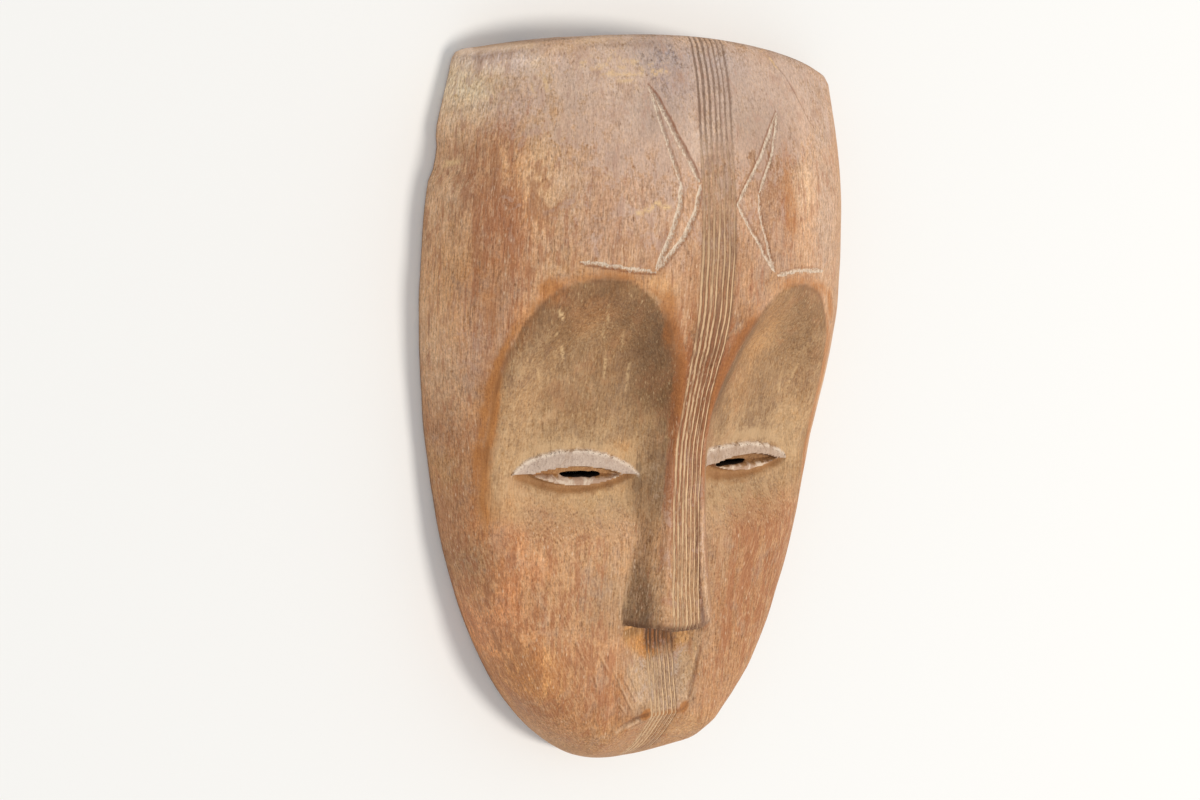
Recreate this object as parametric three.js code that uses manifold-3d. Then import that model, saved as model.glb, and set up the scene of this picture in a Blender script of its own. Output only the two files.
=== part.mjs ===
// A carved wooden face mask, hollow behind, lying face up on its flat rim.
// Millimetres, +Z up and out of the face, +Y from the chin to the forehead,
// +X to the right as one looks at the face. The origin is in the rim plane,
// under the middle of the mask's length and width.

import * as THREE from "three";
import Module from "manifold-3d";

// ---- Driving sizes -------------------------------------------------------
const HALF_WIDTH = 139.9;      // widest half width of the rim
const WIDEST_Y = 87;           // height of the widest place
const TOP_Y = 227;             // crown of the cut top end
const BOTTOM_Y = -227;         // chin end of the rim
const Y_SHIFT = -(TOP_Y + BOTTOM_Y) / 2; // brings the middle of the length to 0
const TOP_ARCH = 15.5;         // the top end is lower by this much at its corners
const TOP_ROUND = 6;           // rounding of the top end's front edge
const RIM = 17;                // width of the flat rim
const FOREHEAD_Z = 95;         // height of the forehead over the rim
const FOREHEAD_Y = 92;
const FOREHEAD_FALL = 0.00187; // how fast the forehead drops towards the top end
const BRIDGE_Y = -12;          // lowest place of the nose bridge
const BRIDGE_Z = 80.5;
const NOSE_TIP_Y = -113;
const NOSE_RISE = 12.5;        // from the bridge to the tip
const NOSE_BRIDGE_HALF = 10.5;
const NOSE_TIP_HALF = 17;
const NOSE_SIDE = 1.45;        // slope of the nose's side walls
const CHEEK_Z = 70;
const EYE_Y = -24;
const MOUTH_Y = -171.5;
const MOUTH_Z = 75.5;
const MOUTH_DROOP = 0.012;
const SOCKET_X = 62, SOCKET_IN = 50, SOCKET_OUT = 47, SOCKET_UP = 91;
const EYE_X = 60, EYE_HALF = 35.5, LID_UP = 15.5, LID_DOWN = 7.5, LID_RISE = 4;
const LENS_X = 58, LENS_HALF = 25, LENS_UP = 3.4, LENS_DOWN = 5.6;
const EYE_ASKEW = 2.6; // how much higher the inner corner of the eye on the +X side sits
const SLITS = { [-1]: { x: 55.5, half: 12, y: -24.4, tilt: 0 }, 1: { x: 48, half: 15, y: -22.9, tilt: -0.06 } };
const SLIT_TALL = 3.8;
const NOTCH_Y = 151, NOTCH_LONG = 11, NOTCH_DEEP = 2.6; // a worn dent in the rim's edge

// ---- Small helpers -------------------------------------------------------
const clamp = (v, a, b) => Math.min(b, Math.max(a, v));
const step = (a, b, v) => { const t = clamp((v - a) / (b - a), 0, 1); return t * t * (3 - 2 * t); };
const mix = (a, b, t) => a + (b - a) * t;
const smoothMax = (a, b, k) => { const h = Math.max(k - Math.abs(a - b), 0) / k; return Math.max(a, b) + (h * h * k) / 4; };

// ---- Outline and long profiles -------------------------------------------
function halfWidth(y) {
  if (y >= WIDEST_Y) return HALF_WIDTH - 0.00097 * (y - WIDEST_Y) ** 2;
  const t = clamp((WIDEST_Y - y) / (WIDEST_Y - BOTTOM_Y), 0, 1);
  return HALF_WIDTH * (1 - t * t) ** 0.515;
}
function foreheadZ(y) { return FOREHEAD_Z - FOREHEAD_FALL * (y - FOREHEAD_Y) ** 2; }
function ridgeZ(y) {
  if (y >= FOREHEAD_Y) return foreheadZ(y);
  if (y >= BRIDGE_Y) return mix(BRIDGE_Z, FOREHEAD_Z, step(BRIDGE_Y, FOREHEAD_Y, y));
  return BRIDGE_Z + NOSE_RISE * ((BRIDGE_Y - y) / 100) ** 1.9;
}
function faceZ(y, ax) {
  if (y >= FOREHEAD_Y) return foreheadZ(y);
  if (y >= EYE_Y) return mix(FOREHEAD_Z, CHEEK_Z, step(0, 1, (FOREHEAD_Y - y) / (FOREHEAD_Y - EYE_Y)) ** 1.3);
  if (y >= -100) return CHEEK_Z;
  if (y >= MOUTH_Y) return CHEEK_Z + (MOUTH_Z - CHEEK_Z) * ((-100 - y) / (-100 - MOUTH_Y)) ** 1.5;
  const t = clamp((MOUTH_Y - y) / (MOUTH_Y - BOTTOM_Y), 0, 1);
  // a wedge under the middle of the mouth, rounder towards the cheeks
  return MOUTH_Z * mix((1 - 0.7 * t - 0.3 * t ** 4) ** 0.7, (1 - t ** 1.8) ** 0.85, step(10, 60, ax));
}
function faceSquareness(y) {
  if (y >= FOREHEAD_Y) return 2.1;
  if (y >= EYE_Y) return mix(2.5, 2.1, (y - EYE_Y) / (FOREHEAD_Y - EYE_Y));
  if (y >= -130) return mix(3.3, 2.5, (y + 130) / (EYE_Y + 130));
  return mix(2.1, 3.3, step(-212, -150, y));
}
const arch = (x, w, z, n) => z * (1 - clamp(Math.abs(x) / w, 0, 1) ** n) ** (1 / n);

// ---- The carved face as a height over the rim plane ------------------------
const socketUp = (x) => SOCKET_UP + (x < 0 ? 2.5 : 0); // a little taller on the side of negative X
function noseHalf(x, y) {
  const low = NOSE_BRIDGE_HALF + (NOSE_TIP_HALF - NOSE_BRIDGE_HALF) * clamp(-y / 113, 0, 1.1) ** 1.3;
  if (y <= 0) return low;
  const top = socketUp(x);
  if (y >= top) return 400;
  return Math.max(low, SOCKET_X - SOCKET_IN * (1 - (y / top) ** 2.1) ** (1 / 2.1) - 1);
}
function socketFloor(ax, y) { return 60 - 0.236 * (ax - 24) + 0.16 * (y - EYE_Y); }
function socketRamp(x, y) { // wider at the temple on the side of negative X
  const ax = Math.abs(x), out = ax > SOCKET_X;
  const p = out ? 2.5 : 2.1;
  const q = Math.abs(ax - SOCKET_X) / (out ? SOCKET_OUT + (x < 0 ? 5.5 : 0) : SOCKET_IN);
  const e = (q ** p + (Math.max(y, 0) / socketUp(x)) ** p) ** (1 / p);
  const flat = ax < SOCKET_X ? mix(0.5, 0.68, q) : mix(0.5, 0.4, q);
  return step(1.02, flat, e) * step(-66, -27, y);
}
function eyeRise(ax, y) {
  const s = (ax - EYE_X) / EYE_HALF;
  if (Math.abs(s) >= 1) return 0;
  const r = (1 - s * s) ** 0.8;
  const up = EYE_Y + LID_UP * r, down = EYE_Y - LID_DOWN * r;
  if (y > up + 1.5 || y < down - 2) return 0;
  let h = LID_RISE * r ** 0.4 * step(up + 1.5, up - 2.5, y) * step(down - 2, down + 0.5, y);
  const s2 = (ax - LENS_X) / LENS_HALF;
  if (Math.abs(s2) < 1) {
    const r2 = 1 - s2 * s2;
    const top = EYE_Y + LENS_UP * r2, low = EYE_Y - LENS_DOWN * r2;
    if (y < top && y > low) h -= (LID_RISE + 2) * r2 * ((y - low) / (top - low)) ** 0.7;
  }
  return h;
}
function faceHeight(x, y) {
  const ax = Math.abs(x), w = halfWidth(y);
  if (ax >= w) return 0;
  const yEff = y < -120 ? y + MOUTH_DROOP * Math.min(ax, 34) ** 2 * step(-120, -150, y) * step(BOTTOM_Y, -200, y) : y;
  const n = faceSquareness(y);
  let face = arch(x, w, faceZ(yEff, ax), n);
  // the trough between the nose and the mouth
  const lip = clamp((y - MOUTH_Y) / 44, 0, 1.02) * step(-95, -118, y);
  const lipHalf = mix(20, 30, clamp((y - MOUTH_Y) / 44, 0, 1));
  if (y > MOUTH_Y) face -= 9 * lip * step(lipHalf * 1.15, lipHalf * 0.2, ax);
  const ramp = y < SOCKET_UP + 6 ? socketRamp(x, y) : 0;
  if (ramp > 0) {
    const depth = face - socketFloor(ax, y);
    if (depth > 0) face -= depth * ramp;
    face += eyeRise(ax, x > 0 ? y - EYE_ASKEW * clamp((94 - ax) / 72, 0, 1) : y) * ramp;
  }
  if (y >= SOCKET_UP + 8 || y < NOSE_TIP_Y - 7) return face;
  const half = noseHalf(x, y), d = ax - half;
  let nose = y >= socketUp(x) ? face : arch(x, w, ridgeZ(y), 2.1);
  if (d > -2) nose -= NOSE_SIDE * (Math.sqrt(Math.max(d + 2, 0) ** 2 + 9) - 3);
  nose -= 40 * step(NOSE_TIP_Y + 0.5, NOSE_TIP_Y - 6.5, y); // the underside of the nose
  return smoothMax(face, nose, 3.01 * step(SOCKET_UP + 8, SOCKET_UP - 20, y) + 1e-6);
}

// ---- Mesh building ----------------------------------------------------------
function meshOf(build) {
  // shared vertices are one vertex, and a triangle that shrinks to a line is left out
  const pos = [], idx = [], seen = new Map();
  const vertex = ([x, y, z]) => {
    const key = [x, y, z].map((v) => Math.round(v * 1000)).join(",");
    if (!seen.has(key)) { seen.set(key, pos.length / 3); pos.push(x, y, z); }
    return seen.get(key);
  };
  build(vertex, (a, b, c) => { if (a !== b && b !== c && c !== a) idx.push(a, b, c); });
  const g = new THREE.BufferGeometry();
  g.setAttribute("position", new THREE.Float32BufferAttribute(pos, 3));
  g.setIndex(idx);
  return g;
}
function gridSolid(rows) {
  // rows of [x, y, z]; the first row is one point, and the last row and the two
  // side columns lie in the base plane, which is filled in underneath
  return meshOf((vertex, tri) => {
    const id = rows.map((row) => row.map(vertex));
    for (let i = 0; i + 1 < rows.length; i++) {
      const lo = id[i], hi = id[i + 1];
      for (let j = 0; j + 1 < hi.length; j++) {
        const a = lo[lo.length === 1 ? 0 : j], b = lo[lo.length === 1 ? 0 : j + 1];
        tri(a, b, hi[j + 1]);
        tri(a, hi[j + 1], hi[j]);
      }
    }
    fillBase(id, tri);
  });
}
function fillBase(id, tri) {
  const last = id.length - 1;
  for (let i = 0; i < last; i++) {
    const lo = id[i], hi = id[i + 1];
    const a = lo[0], b = lo[lo.length - 1], c = hi[hi.length - 1], d = hi[0];
    if (i + 1 < last) { tri(a, c, b); tri(a, d, c); }
    else { // a fan under the last row's curve
      tri(a, c, b);
      for (let j = hi.length - 1; j > 0; j--) tri(a, hi[j - 1], hi[j]);
    }
  }
}

// columns across the face, as shares of the half width at each row
function columns() {
  const half = [0];
  for (let s = 0.03; s < 0.301; s += 0.03) half.push(s);
  for (let s = 0.355; s < 0.86; s += 0.055) half.push(s);
  half.push(0.905, 0.948, 0.978, 0.995, 1);
  return [...half.slice(1).map((s) => -s).reverse(), ...half];
}
function outerRows() {
  const col = columns(), ys = [];
  for (let k = 1; k <= 9; k++) ys.push(BOTTOM_Y + 52 * (1 - Math.cos((k / 9) * Math.PI / 2))); // round the chin
  ys.push(-173.5, -171.5, -168, -161, -153, -145, -137, -129, -123, -119.6, -117.4, -115.2, -113, -110, -105, -97, -88, -79, -70, -62, -54, -47);
  for (let y = -41; y <= -4; y += 3.1) ys.push(y);
  ys.push(2, 10, 19, 28, 37, 46, 55, 63, 70, 76, 82, 87, 92, 97, 106, 118, 132, 142, 153, 164, 176, 190, 203, 212);
  const place = (s, y0, shrink, k) => {
    // y0 is the row's height at the middle; the rows bend with the arched top end
    const y = y0 - TOP_ARCH * step(120, TOP_Y, y0) * s * s;
    const full = halfWidth(y), x = (full - shrink) * s;
    const z = faceHeight(full * s * 0.999999, y) * (1 - shrink / 90) * k;
    const notch = s < 0 ? NOTCH_DEEP * Math.exp(-(((y - NOTCH_Y) / NOTCH_LONG) ** 4)) * step(0.86, 1, -s) : 0;
    return [x + notch, y + Y_SHIFT, Math.abs(s) === 1 ? 0 : z];
  };
  const rows = [[[0, BOTTOM_Y + Y_SHIFT, 0]]];
  for (const y of ys) rows.push(col.map((s) => place(s, y, 0, 1)));
  for (let k = 0; k <= 3; k++) { // the rounded front edge of the top end
    const a = (k / 3) * Math.PI / 2;
    rows.push(col.map((s) => place(s, TOP_Y - TOP_ROUND * (1 - Math.sin(a)), TOP_ROUND * (1 - Math.cos(a)), 1)));
  }
  for (const k of [0.66, 0.33, 0]) rows.push(col.map((s) => place(s, TOP_Y, TOP_ROUND, k)));
  return rows;
}

// ---- The hollow behind the face ----------------------------------------------
const HOLLOW_TOP = 205, HOLLOW_BOTTOM = BOTTOM_Y + RIM + 1;
function hollowZ(y) {
  if (y >= 105) return 76 - 0.0016 * (y - 105) ** 2;
  if (y >= -24) return mix(49, 76, step(-10, 112, y));
  if (y >= -105) return 49;
  if (y >= -165) return mix(49, 46, step(-105, -135, y)) + 6 * step(-140, -165, y);
  return 52 * (1 - clamp((-165 - y) / (-165 - HOLLOW_BOTTOM), 0, 1) ** 1.7) ** 0.6;
}
function hollowHalf(y) {
  const t = clamp((WIDEST_Y - y) / (WIDEST_Y - HOLLOW_BOTTOM), 0, 1);
  const w = y >= WIDEST_Y ? halfWidth(y) - RIM : (HALF_WIDTH - RIM) * (1 - t * t) ** 0.515;
  return y > 165 ? w * (1 - clamp((y - 165) / (HOLLOW_TOP - 165), 0, 1) ** 5) ** 0.2 : w;
}
function hollowRows() {
  const N = 20, rows = [], ys = [];
  for (let k = 1; k <= 7; k++) ys.push(HOLLOW_BOTTOM + 50 * (1 - Math.cos((k / 7) * Math.PI / 2)));
  for (let y = -150; y < 165; y += 17.5) ys.push(y);
  for (let k = 0; k < 7; k++) ys.push(165 + (HOLLOW_TOP - 165) * Math.sin((k / 7) * Math.PI / 2));
  const low = -6;
  rows.push([[0, HOLLOW_BOTTOM + Y_SHIFT, low]]);
  for (const y of ys) {
    const w = hollowHalf(y), top = y > 165 ? (1 - ((y - 165) / (HOLLOW_TOP - 165)) ** 3) ** 0.45 : 1;
    const row = [[-w, y + Y_SHIFT, low]];
    for (let j = 0; j <= N; j++) {
      const a = Math.PI * (1 - j / N), c = Math.cos(a), s = Math.sin(a), n = 2.35;
      row.push([w * Math.sign(c) * Math.abs(c) ** (2 / n), y + Y_SHIFT, hollowZ(y) * top * Math.abs(s) ** (2 / n)]);
    }
    row.push([w, y + Y_SHIFT, low]);
    rows.push(row);
  }
  const last = rows[rows.length - 1];
  rows.push(last.map(([x]) => [x * 0.2, HOLLOW_TOP + Y_SHIFT, low]));
  return rows;
}

// the almond slit through each eye, a prism through the wall
function slitGeometry(side) {
  const s = new THREE.Shape(), N = 8, slit = SLITS[side];
  const at = (t, up) => [side * (slit.x + slit.half * t), slit.y + slit.tilt * slit.half * t + Y_SHIFT + up * (SLIT_TALL / 2) * (1 - t ** 4) ** 0.5];
  for (let k = 0; k <= N; k++) {
    const t = -1 + (2 * k) / N;
    const p = at(t, 1);
    if (k === 0) s.moveTo(...p); else s.lineTo(...p);
  }
  for (let k = N - 1; k > 0; k--) {
    const t = -1 + (2 * k) / N;
    s.lineTo(...at(t, -1));
  }
  const g = new THREE.ExtrudeGeometry(s, { depth: 60, bevelEnabled: false, steps: 1 });
  g.translate(0, 0, 20);
  const p = g.attributes.position;
  return meshOf((vertex, tri) => {
    for (let k = 0; k < p.count; k += 3) {
      tri(...[k, k + 1, k + 2].map((m) => vertex([p.getX(m), p.getY(m), p.getZ(m)])));
    }
  });
}

// ---- Cutting -------------------------------------------------------------------
const wasm = await Module();
wasm.setup();
function toSolid(g) {
  return new wasm.Manifold(new wasm.Mesh({
    numProp: 3,
    vertProperties: new Float32Array(g.attributes.position.array),
    triVerts: new Uint32Array(g.index.array),
  }));
}
function toGeometry(solid) {
  const m = solid.getMesh();
  const g = new THREE.BufferGeometry();
  g.setAttribute("position", new THREE.BufferAttribute(new Float32Array(m.vertProperties), 3));
  g.setIndex(new THREE.BufferAttribute(new Uint32Array(m.triVerts), 1));
  g.computeVertexNormals();
  return g;
}
let solid = toSolid(gridSolid(outerRows()));
solid = solid.subtract(toSolid(gridSolid(hollowRows())));
for (const side of [-1, 1]) solid = solid.subtract(toSolid(slitGeometry(side)));

// ---- The part --------------------------------------------------------------------
const wood = new THREE.MeshStandardMaterial({ color: 0x9a6f50, roughness: 0.72, metalness: 0 });
const mask = new THREE.Mesh(toGeometry(solid), wood);
mask.name = "mask";
const part = new THREE.Group();
part.add(mask);
export default part;
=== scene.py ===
"""A carved wooden face mask lying face up on its rim. Lengths in the carving functions are millimetres in the part's frame:
X to the right as one looks at the face, Y from chin to forehead, Z out of the face."""
import math

import bmesh
import bpy
import numpy as np
from mathutils import Matrix, Vector


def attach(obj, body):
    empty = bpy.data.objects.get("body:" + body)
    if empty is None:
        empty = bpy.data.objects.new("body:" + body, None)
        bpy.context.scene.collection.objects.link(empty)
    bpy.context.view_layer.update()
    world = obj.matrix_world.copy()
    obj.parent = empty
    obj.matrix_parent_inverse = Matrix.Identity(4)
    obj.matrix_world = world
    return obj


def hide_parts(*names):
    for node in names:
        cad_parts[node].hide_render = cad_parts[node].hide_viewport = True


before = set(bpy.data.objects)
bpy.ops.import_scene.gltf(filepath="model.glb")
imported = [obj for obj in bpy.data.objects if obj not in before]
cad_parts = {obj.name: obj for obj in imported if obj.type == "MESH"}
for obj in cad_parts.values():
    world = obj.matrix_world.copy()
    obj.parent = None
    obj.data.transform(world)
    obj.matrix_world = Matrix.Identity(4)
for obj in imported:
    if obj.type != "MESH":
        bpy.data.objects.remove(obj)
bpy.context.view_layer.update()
PI = math.pi

# ------------------------------------------------------------------ camera
# The mask is seen from its own right-hand side and slightly from the forehead.
CAM_AT = Vector((-0.4592, 0.1733, 0.7676))
CAM_AZ, CAM_EL, CAM_ROLL = math.radians(30.0), math.radians(10.6), math.radians(3.8)
CAM_F = 1453.0  # focal length in pixels of a 1200 x 800 frame
back = Vector((-math.sin(CAM_AZ) * math.cos(CAM_EL), math.sin(CAM_EL), math.cos(CAM_AZ) * math.cos(CAM_EL)))
right = (-back).cross(Vector((0, 1, 0))).normalized()
up = right.cross(-back)
c, s = math.cos(CAM_ROLL), math.sin(CAM_ROLL)
right, up = c * right + s * up, -s * right + c * up
cam = bpy.data.cameras.new("camera")
cam.sensor_fit = "HORIZONTAL"
cam.sensor_width = 36.0
cam.lens = CAM_F / 1200.0 * 36.0
cam.clip_end = 50.0
cam_ob = bpy.data.objects.new("camera", cam)
cam_ob.matrix_world = Matrix((
    (right.x, up.x, back.x, CAM_AT.x),
    (right.y, up.y, back.y, CAM_AT.y),
    (right.z, up.z, back.z, CAM_AT.z),
    (0, 0, 0, 1)))
bpy.context.scene.collection.objects.link(cam_ob)
bpy.context.scene.camera = cam_ob

# ------------------------------------------------------------------ helpers
def clamp(v, a=0.0, b=1.0):
    return np.clip(v, a, b)


def step(a, b, v):
    t = np.clip((v - a) / (b - a), 0, 1)
    return t * t * (3 - 2 * t)


def mix(a, b, t):
    return a + (b - a) * t


def hash2(i, j, seed):
    h = (i.astype(np.int64) * 374761393 + j.astype(np.int64) * 668265263 + seed * 144665) & 0x7FFFFFFF
    h = ((h ^ (h >> 13)) * 1274126177) & 0x7FFFFFFF
    h = (h ^ (h >> 16)) & 0x7FFFFFFF
    return (h % 100003) / 100003.0


def noise(x, y, seed=0):
    """Smooth value noise, from -1 to 1, with a period of about one unit."""
    i, j = np.floor(x).astype(np.int64), np.floor(y).astype(np.int64)
    u, v = x - i, y - j
    u, v = u * u * u * (u * (u * 6 - 15) + 10), v * v * v * (v * (v * 6 - 15) + 10)
    a, b = hash2(i, j, seed), hash2(i + 1, j, seed)
    p, q = hash2(i, j + 1, seed), hash2(i + 1, j + 1, seed)
    return 2 * ((a * (1 - u) + b * u) * (1 - v) + (p * (1 - u) + q * u) * v) - 1


def fbm(x, y, seed=0, octaves=3):
    out, amp, total = 0, 1.0, 0.0
    for k in range(octaves):
        out = out + amp * noise(x * 2 ** k, y * 2 ** k, seed + 17 * k)
        total += amp
        amp *= 0.5
    return out / total


# ------------------------------------------------------------------ sizes, as in the solid
HALF_WIDTH, WIDEST_Y, TOP_Y, BOTTOM_Y = 139.9, 87.0, 227.0, -227.0
TOP_ARCH, TOP_ROUND, RIM = 15.5, 6.0, 17.0
FOREHEAD_Z, FOREHEAD_Y, FOREHEAD_FALL = 95.0, 92.0, 0.00187
BRIDGE_Y, BRIDGE_Z, NOSE_TIP_Y, NOSE_RISE = -12.0, 80.5, -113.0, 12.5
NOSE_BRIDGE_HALF, NOSE_TIP_HALF, NOSE_SIDE = 10.5, 17.0, 1.45
CHEEK_Z, EYE_Y, MOUTH_Y, MOUTH_Z, MOUTH_DROOP = 70.0, -24.0, -171.5, 75.5, 0.012
SOCKET_X, SOCKET_IN, SOCKET_OUT, SOCKET_UP = 62.0, 50.0, 47.0, 91.0
EYE_X, EYE_HALF, LID_UP, LID_DOWN, LID_RISE = 60.0, 35.5, 15.5, 7.5, 4.0
LENS_X, LENS_HALF, LENS_UP, LENS_DOWN = 58.0, 25.0, 3.4, 5.6
SLITS = {-1: (55.7, 12.2, -24.9, 0.0), 1: (47.2, 14.6, -22.9, -0.02)}  # by side: middle from the centre line, half length, height, tilt
SLIT_TALL = 3.4
NOTCH_Y, NOTCH_LONG, NOTCH_DEEP = 151.0, 11.0, 2.6
# the finely carved eye: lids, opening and the groove under the lower lid
LID_X, LID_HALF, LID_TOP, OPEN_X, OPEN_HALF, OPEN_UP, OPEN_DOWN, GROOVE_DOWN = 60.5, 37.5, 14.8, 58.5, 26.5, 5.0, 6.4, 12.6
HOLLOW_TOP, HOLLOW_BOTTOM = 205.0, BOTTOM_Y + RIM + 1


def half_width(y):
    t = clamp((WIDEST_Y - y) / (WIDEST_Y - BOTTOM_Y))
    return np.where(y >= WIDEST_Y, HALF_WIDTH - 0.00097 * (y - WIDEST_Y) ** 2, HALF_WIDTH * (1 - t * t) ** 0.515)


def forehead_z(y):
    return FOREHEAD_Z - FOREHEAD_FALL * (y - FOREHEAD_Y) ** 2


def ridge_z(y):
    low = BRIDGE_Z + NOSE_RISE * (clamp(BRIDGE_Y - y, 0, 400) / 100) ** 1.9
    mid = mix(BRIDGE_Z, FOREHEAD_Z, step(BRIDGE_Y, FOREHEAD_Y, y))
    return np.where(y >= FOREHEAD_Y, forehead_z(y), np.where(y >= BRIDGE_Y, mid, low))


def face_z(y, ax=0.0):
    brow = mix(FOREHEAD_Z, CHEEK_Z, step(0, 1, (FOREHEAD_Y - y) / (FOREHEAD_Y - EYE_Y)) ** 1.3)
    lip = CHEEK_Z + (MOUTH_Z - CHEEK_Z) * clamp((-100 - y) / (-100 - MOUTH_Y)) ** 1.5
    t = clamp((MOUTH_Y - y) / (MOUTH_Y - BOTTOM_Y))
    chin = MOUTH_Z * mix((1 - 0.7 * t - 0.3 * t ** 4) ** 0.70, (1 - t ** 1.8) ** 0.85, step(10, 60, ax))
    return np.where(y >= FOREHEAD_Y, forehead_z(y), np.where(y >= EYE_Y, brow, np.where(y >= MOUTH_Y, lip, chin)))


def squareness(y):
    a = mix(2.5, 2.1, clamp((y - EYE_Y) / (FOREHEAD_Y - EYE_Y)))
    b = mix(3.3, 2.5, clamp((y + 130) / (EYE_Y + 130)))
    return np.where(y >= EYE_Y, a, np.where(y >= -130, b, mix(2.1, 3.3, step(-212, -150, y))))


def arch(x, w, z, n):
    return z * (1 - clamp(np.abs(x) / w) ** n) ** (1 / n)


def nose_bow(ax):
    """How much lower than the tip's line the nose's lower edge is."""
    return 1.0 - 2.2 * np.exp(-(((ax - 17.5) / 5.5) ** 2)) - 0.8 * step(20, 30, ax)


def socket_up(x):
    return SOCKET_UP + 2.5 * (x < 0)


def nose_half(x, y):
    top = socket_up(x)
    low = NOSE_BRIDGE_HALF + (NOSE_TIP_HALF - NOSE_BRIDGE_HALF) * clamp(-y / 113, 0, 1.1) ** 1.3
    side = SOCKET_X - SOCKET_IN * (1 - clamp(y / top) ** 2.1) ** (1 / 2.1) - 1
    return np.where(y <= 0, low, np.where(y >= top, 400.0, np.maximum(low, side)))


def socket_floor(ax, y):
    return 60 - 0.236 * (ax - 24) + 0.16 * (y - EYE_Y)


def socket_e(x, y):
    """1 on the socket's edge, less inside. It is wider at the temple on the side of negative X."""
    ax = np.abs(x)
    p = np.where(ax > SOCKET_X, 2.5, 2.1)
    q = np.abs(ax - SOCKET_X) / np.where(ax > SOCKET_X, SOCKET_OUT + 5.5 * (x < 0), SOCKET_IN)
    return (q ** p + (clamp(y, 0, 1e9) / socket_up(x)) ** p) ** (1 / p), q


def socket_ramp(x, y):
    ax = np.abs(x)
    e, q = socket_e(x, y)
    flat = np.where(ax < SOCKET_X, mix(0.5, 0.68, clamp(q)), mix(0.5, 0.4, clamp(q)))
    return step(1.02, flat, e) * step(-66, -27, y)


def eye_shape(x, y):
    """The lids' rise over the socket floor, and weights of the lids, the opening, the lower lid and the groove under it."""
    ax, far = np.abs(x), x > 0
    y = y - np.where(far, 2.6 * clamp((94 - ax) / 72), 0)  # this one sits a little askew
    s = (ax - np.where(far, 50.0, LID_X)) / np.where(far, 44.0, LID_HALF)
    r = clamp(1 - s * s) ** np.where(far, 0.5, 0.8)
    flake = 0.50 * noise(x / 3.1, y / 2.5, 81) + 0.20 * noise(x / 1.3, y / 1.2, 84)
    top = EYE_Y + np.where(far, 12.0, LID_TOP) * r + flake
    s2 = (ax - np.where(far, 58.8, OPEN_X)) / np.where(far, 29.0, OPEN_HALF)
    r2 = clamp(1 - s2 * s2)
    ltop, llow = EYE_Y - 0.5 + OPEN_UP * r2 ** 0.9, EYE_Y - 0.8 - np.where(far, 5.2, OPEN_DOWN) * r2 ** 0.9
    groove_low = EYE_Y - GROOVE_DOWN * r ** 0.9
    inside = (np.abs(s) < 1) & (ax > 19) & (y < top + 1.5) & (y > groove_low - 2)
    # the upper lid swells from a thin flaked edge to its overhanging lower edge
    swell = LID_RISE * (0.45 + 0.55 * step(top, np.minimum(ltop + 2.0, top - 0.5), y))
    upper = swell * r ** 0.35 * step(top + 0.5, top - 0.6, y)
    body = step(EYE_Y - 1.4, EYE_Y - 0.4, y)
    rise = upper * np.where(r2 > 0, 1, body)
    # the lower lid rises out of the opening and ends in an edge over a groove
    within = (np.abs(s2) < 1) & (y < ltop) & (y > llow)
    t = clamp((y - llow) / np.maximum(ltop - llow, 1e-3))
    depth = (LID_RISE + 1.8) * np.minimum(1, r2 * 2.2) ** 0.6
    lens = LID_RISE * 0.8 * r ** 0.35 - depth * (0.10 * t + 0.80 * step(0.22, 0.58, t))
    rise = np.where(within, mix(lens, rise, step(0.45, 0.0, ltop - y)), rise)
    below = (np.abs(s) < 1) & (y <= np.where(r2 > 0, llow, EYE_Y))
    edge_y = np.where(r2 > 0, llow, EYE_Y)
    span = np.maximum(edge_y - groove_low, 0.4)
    u = clamp((edge_y - y) / span)
    dip = -2.3 * np.minimum(1, r * 2.0) * np.sin(PI * u ** 0.7) * (u < 1)
    lip = np.where(r2 > 0, LID_RISE * 0.8 * r ** 0.35 * step(0.7, 0.0, edge_y - y) * np.minimum(1, r2 * 6), 0)
    rise = np.where(below, dip + lip, rise)
    rise = np.where(inside, rise, 0)
    lids = np.where(inside & (y > np.where(r2 > 0, ltop, EYE_Y - 0.4)), step(top + 0.35, top - 0.6, y) * step(0, 0.08, r), 0)
    ragged = 0.14 * noise(x / 2.6, y / 2.2, 82)
    lower = np.where(within, step(np.where(far, 0.36, 0.50), np.where(far, 0.22, 0.34), t + ragged), 0)
    socket = np.where(within, step(np.where(far, 0.20, 0.32), np.where(far, 0.36, 0.48), t + ragged), 0)
    shade = np.where(below & inside, step(1.15, 0.70, u + 0.14 * noise(x / 4, y / 2, 83)) * np.minimum(1, r * 3), 0)
    rim = np.where(inside, np.exp(-(((y - top + 0.9) / 1.1) ** 2)) * step(0, 0.1, r), 0)
    return rise, lids, socket, lower, shade, rim


# ------------------------------------------------------------------ cut lines
GROOVES = 7


def groove_pitch(y):
    return mix(2.8, 3.45, step(20, 75, y))


def groove_coord(x, y):
    """Position across the band of grooves, in pitches, with a hand-cut wander."""
    wander = 0.55 * noise(y / 33, 0 * y, 5) + 0.2 * noise(y / 9, 0 * y, 6)
    return (x - wander * 0.8 - 1.6 * step(165, 215, y)) / groove_pitch(y) + 0.13 * noise(np.round(x / groove_pitch(y)) * 3.1, y / 26, 7)


def groove_weight(x, y):
    """Where the grooves are cut: the whole band, ending just above the chin's end."""
    s = np.abs(groove_coord(x, y))
    on = step(GROOVES / 2 + 0.05, GROOVES / 2 - 0.12, s)
    gap = 1 - step(-118.8, -120.5, y) * step(-123.5, -122.0, y) * 0  # the underside is nearly upright, the lines run on
    end = step(-216, -206, y)
    return on * gap * end


def groove_depth(y):
    return mix(0.38, 0.55, step(60, -10, y)) + 0.04 * step(170, 200, y) - 0.22 * step(112, 132, y) * step(182, 170, y)


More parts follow.
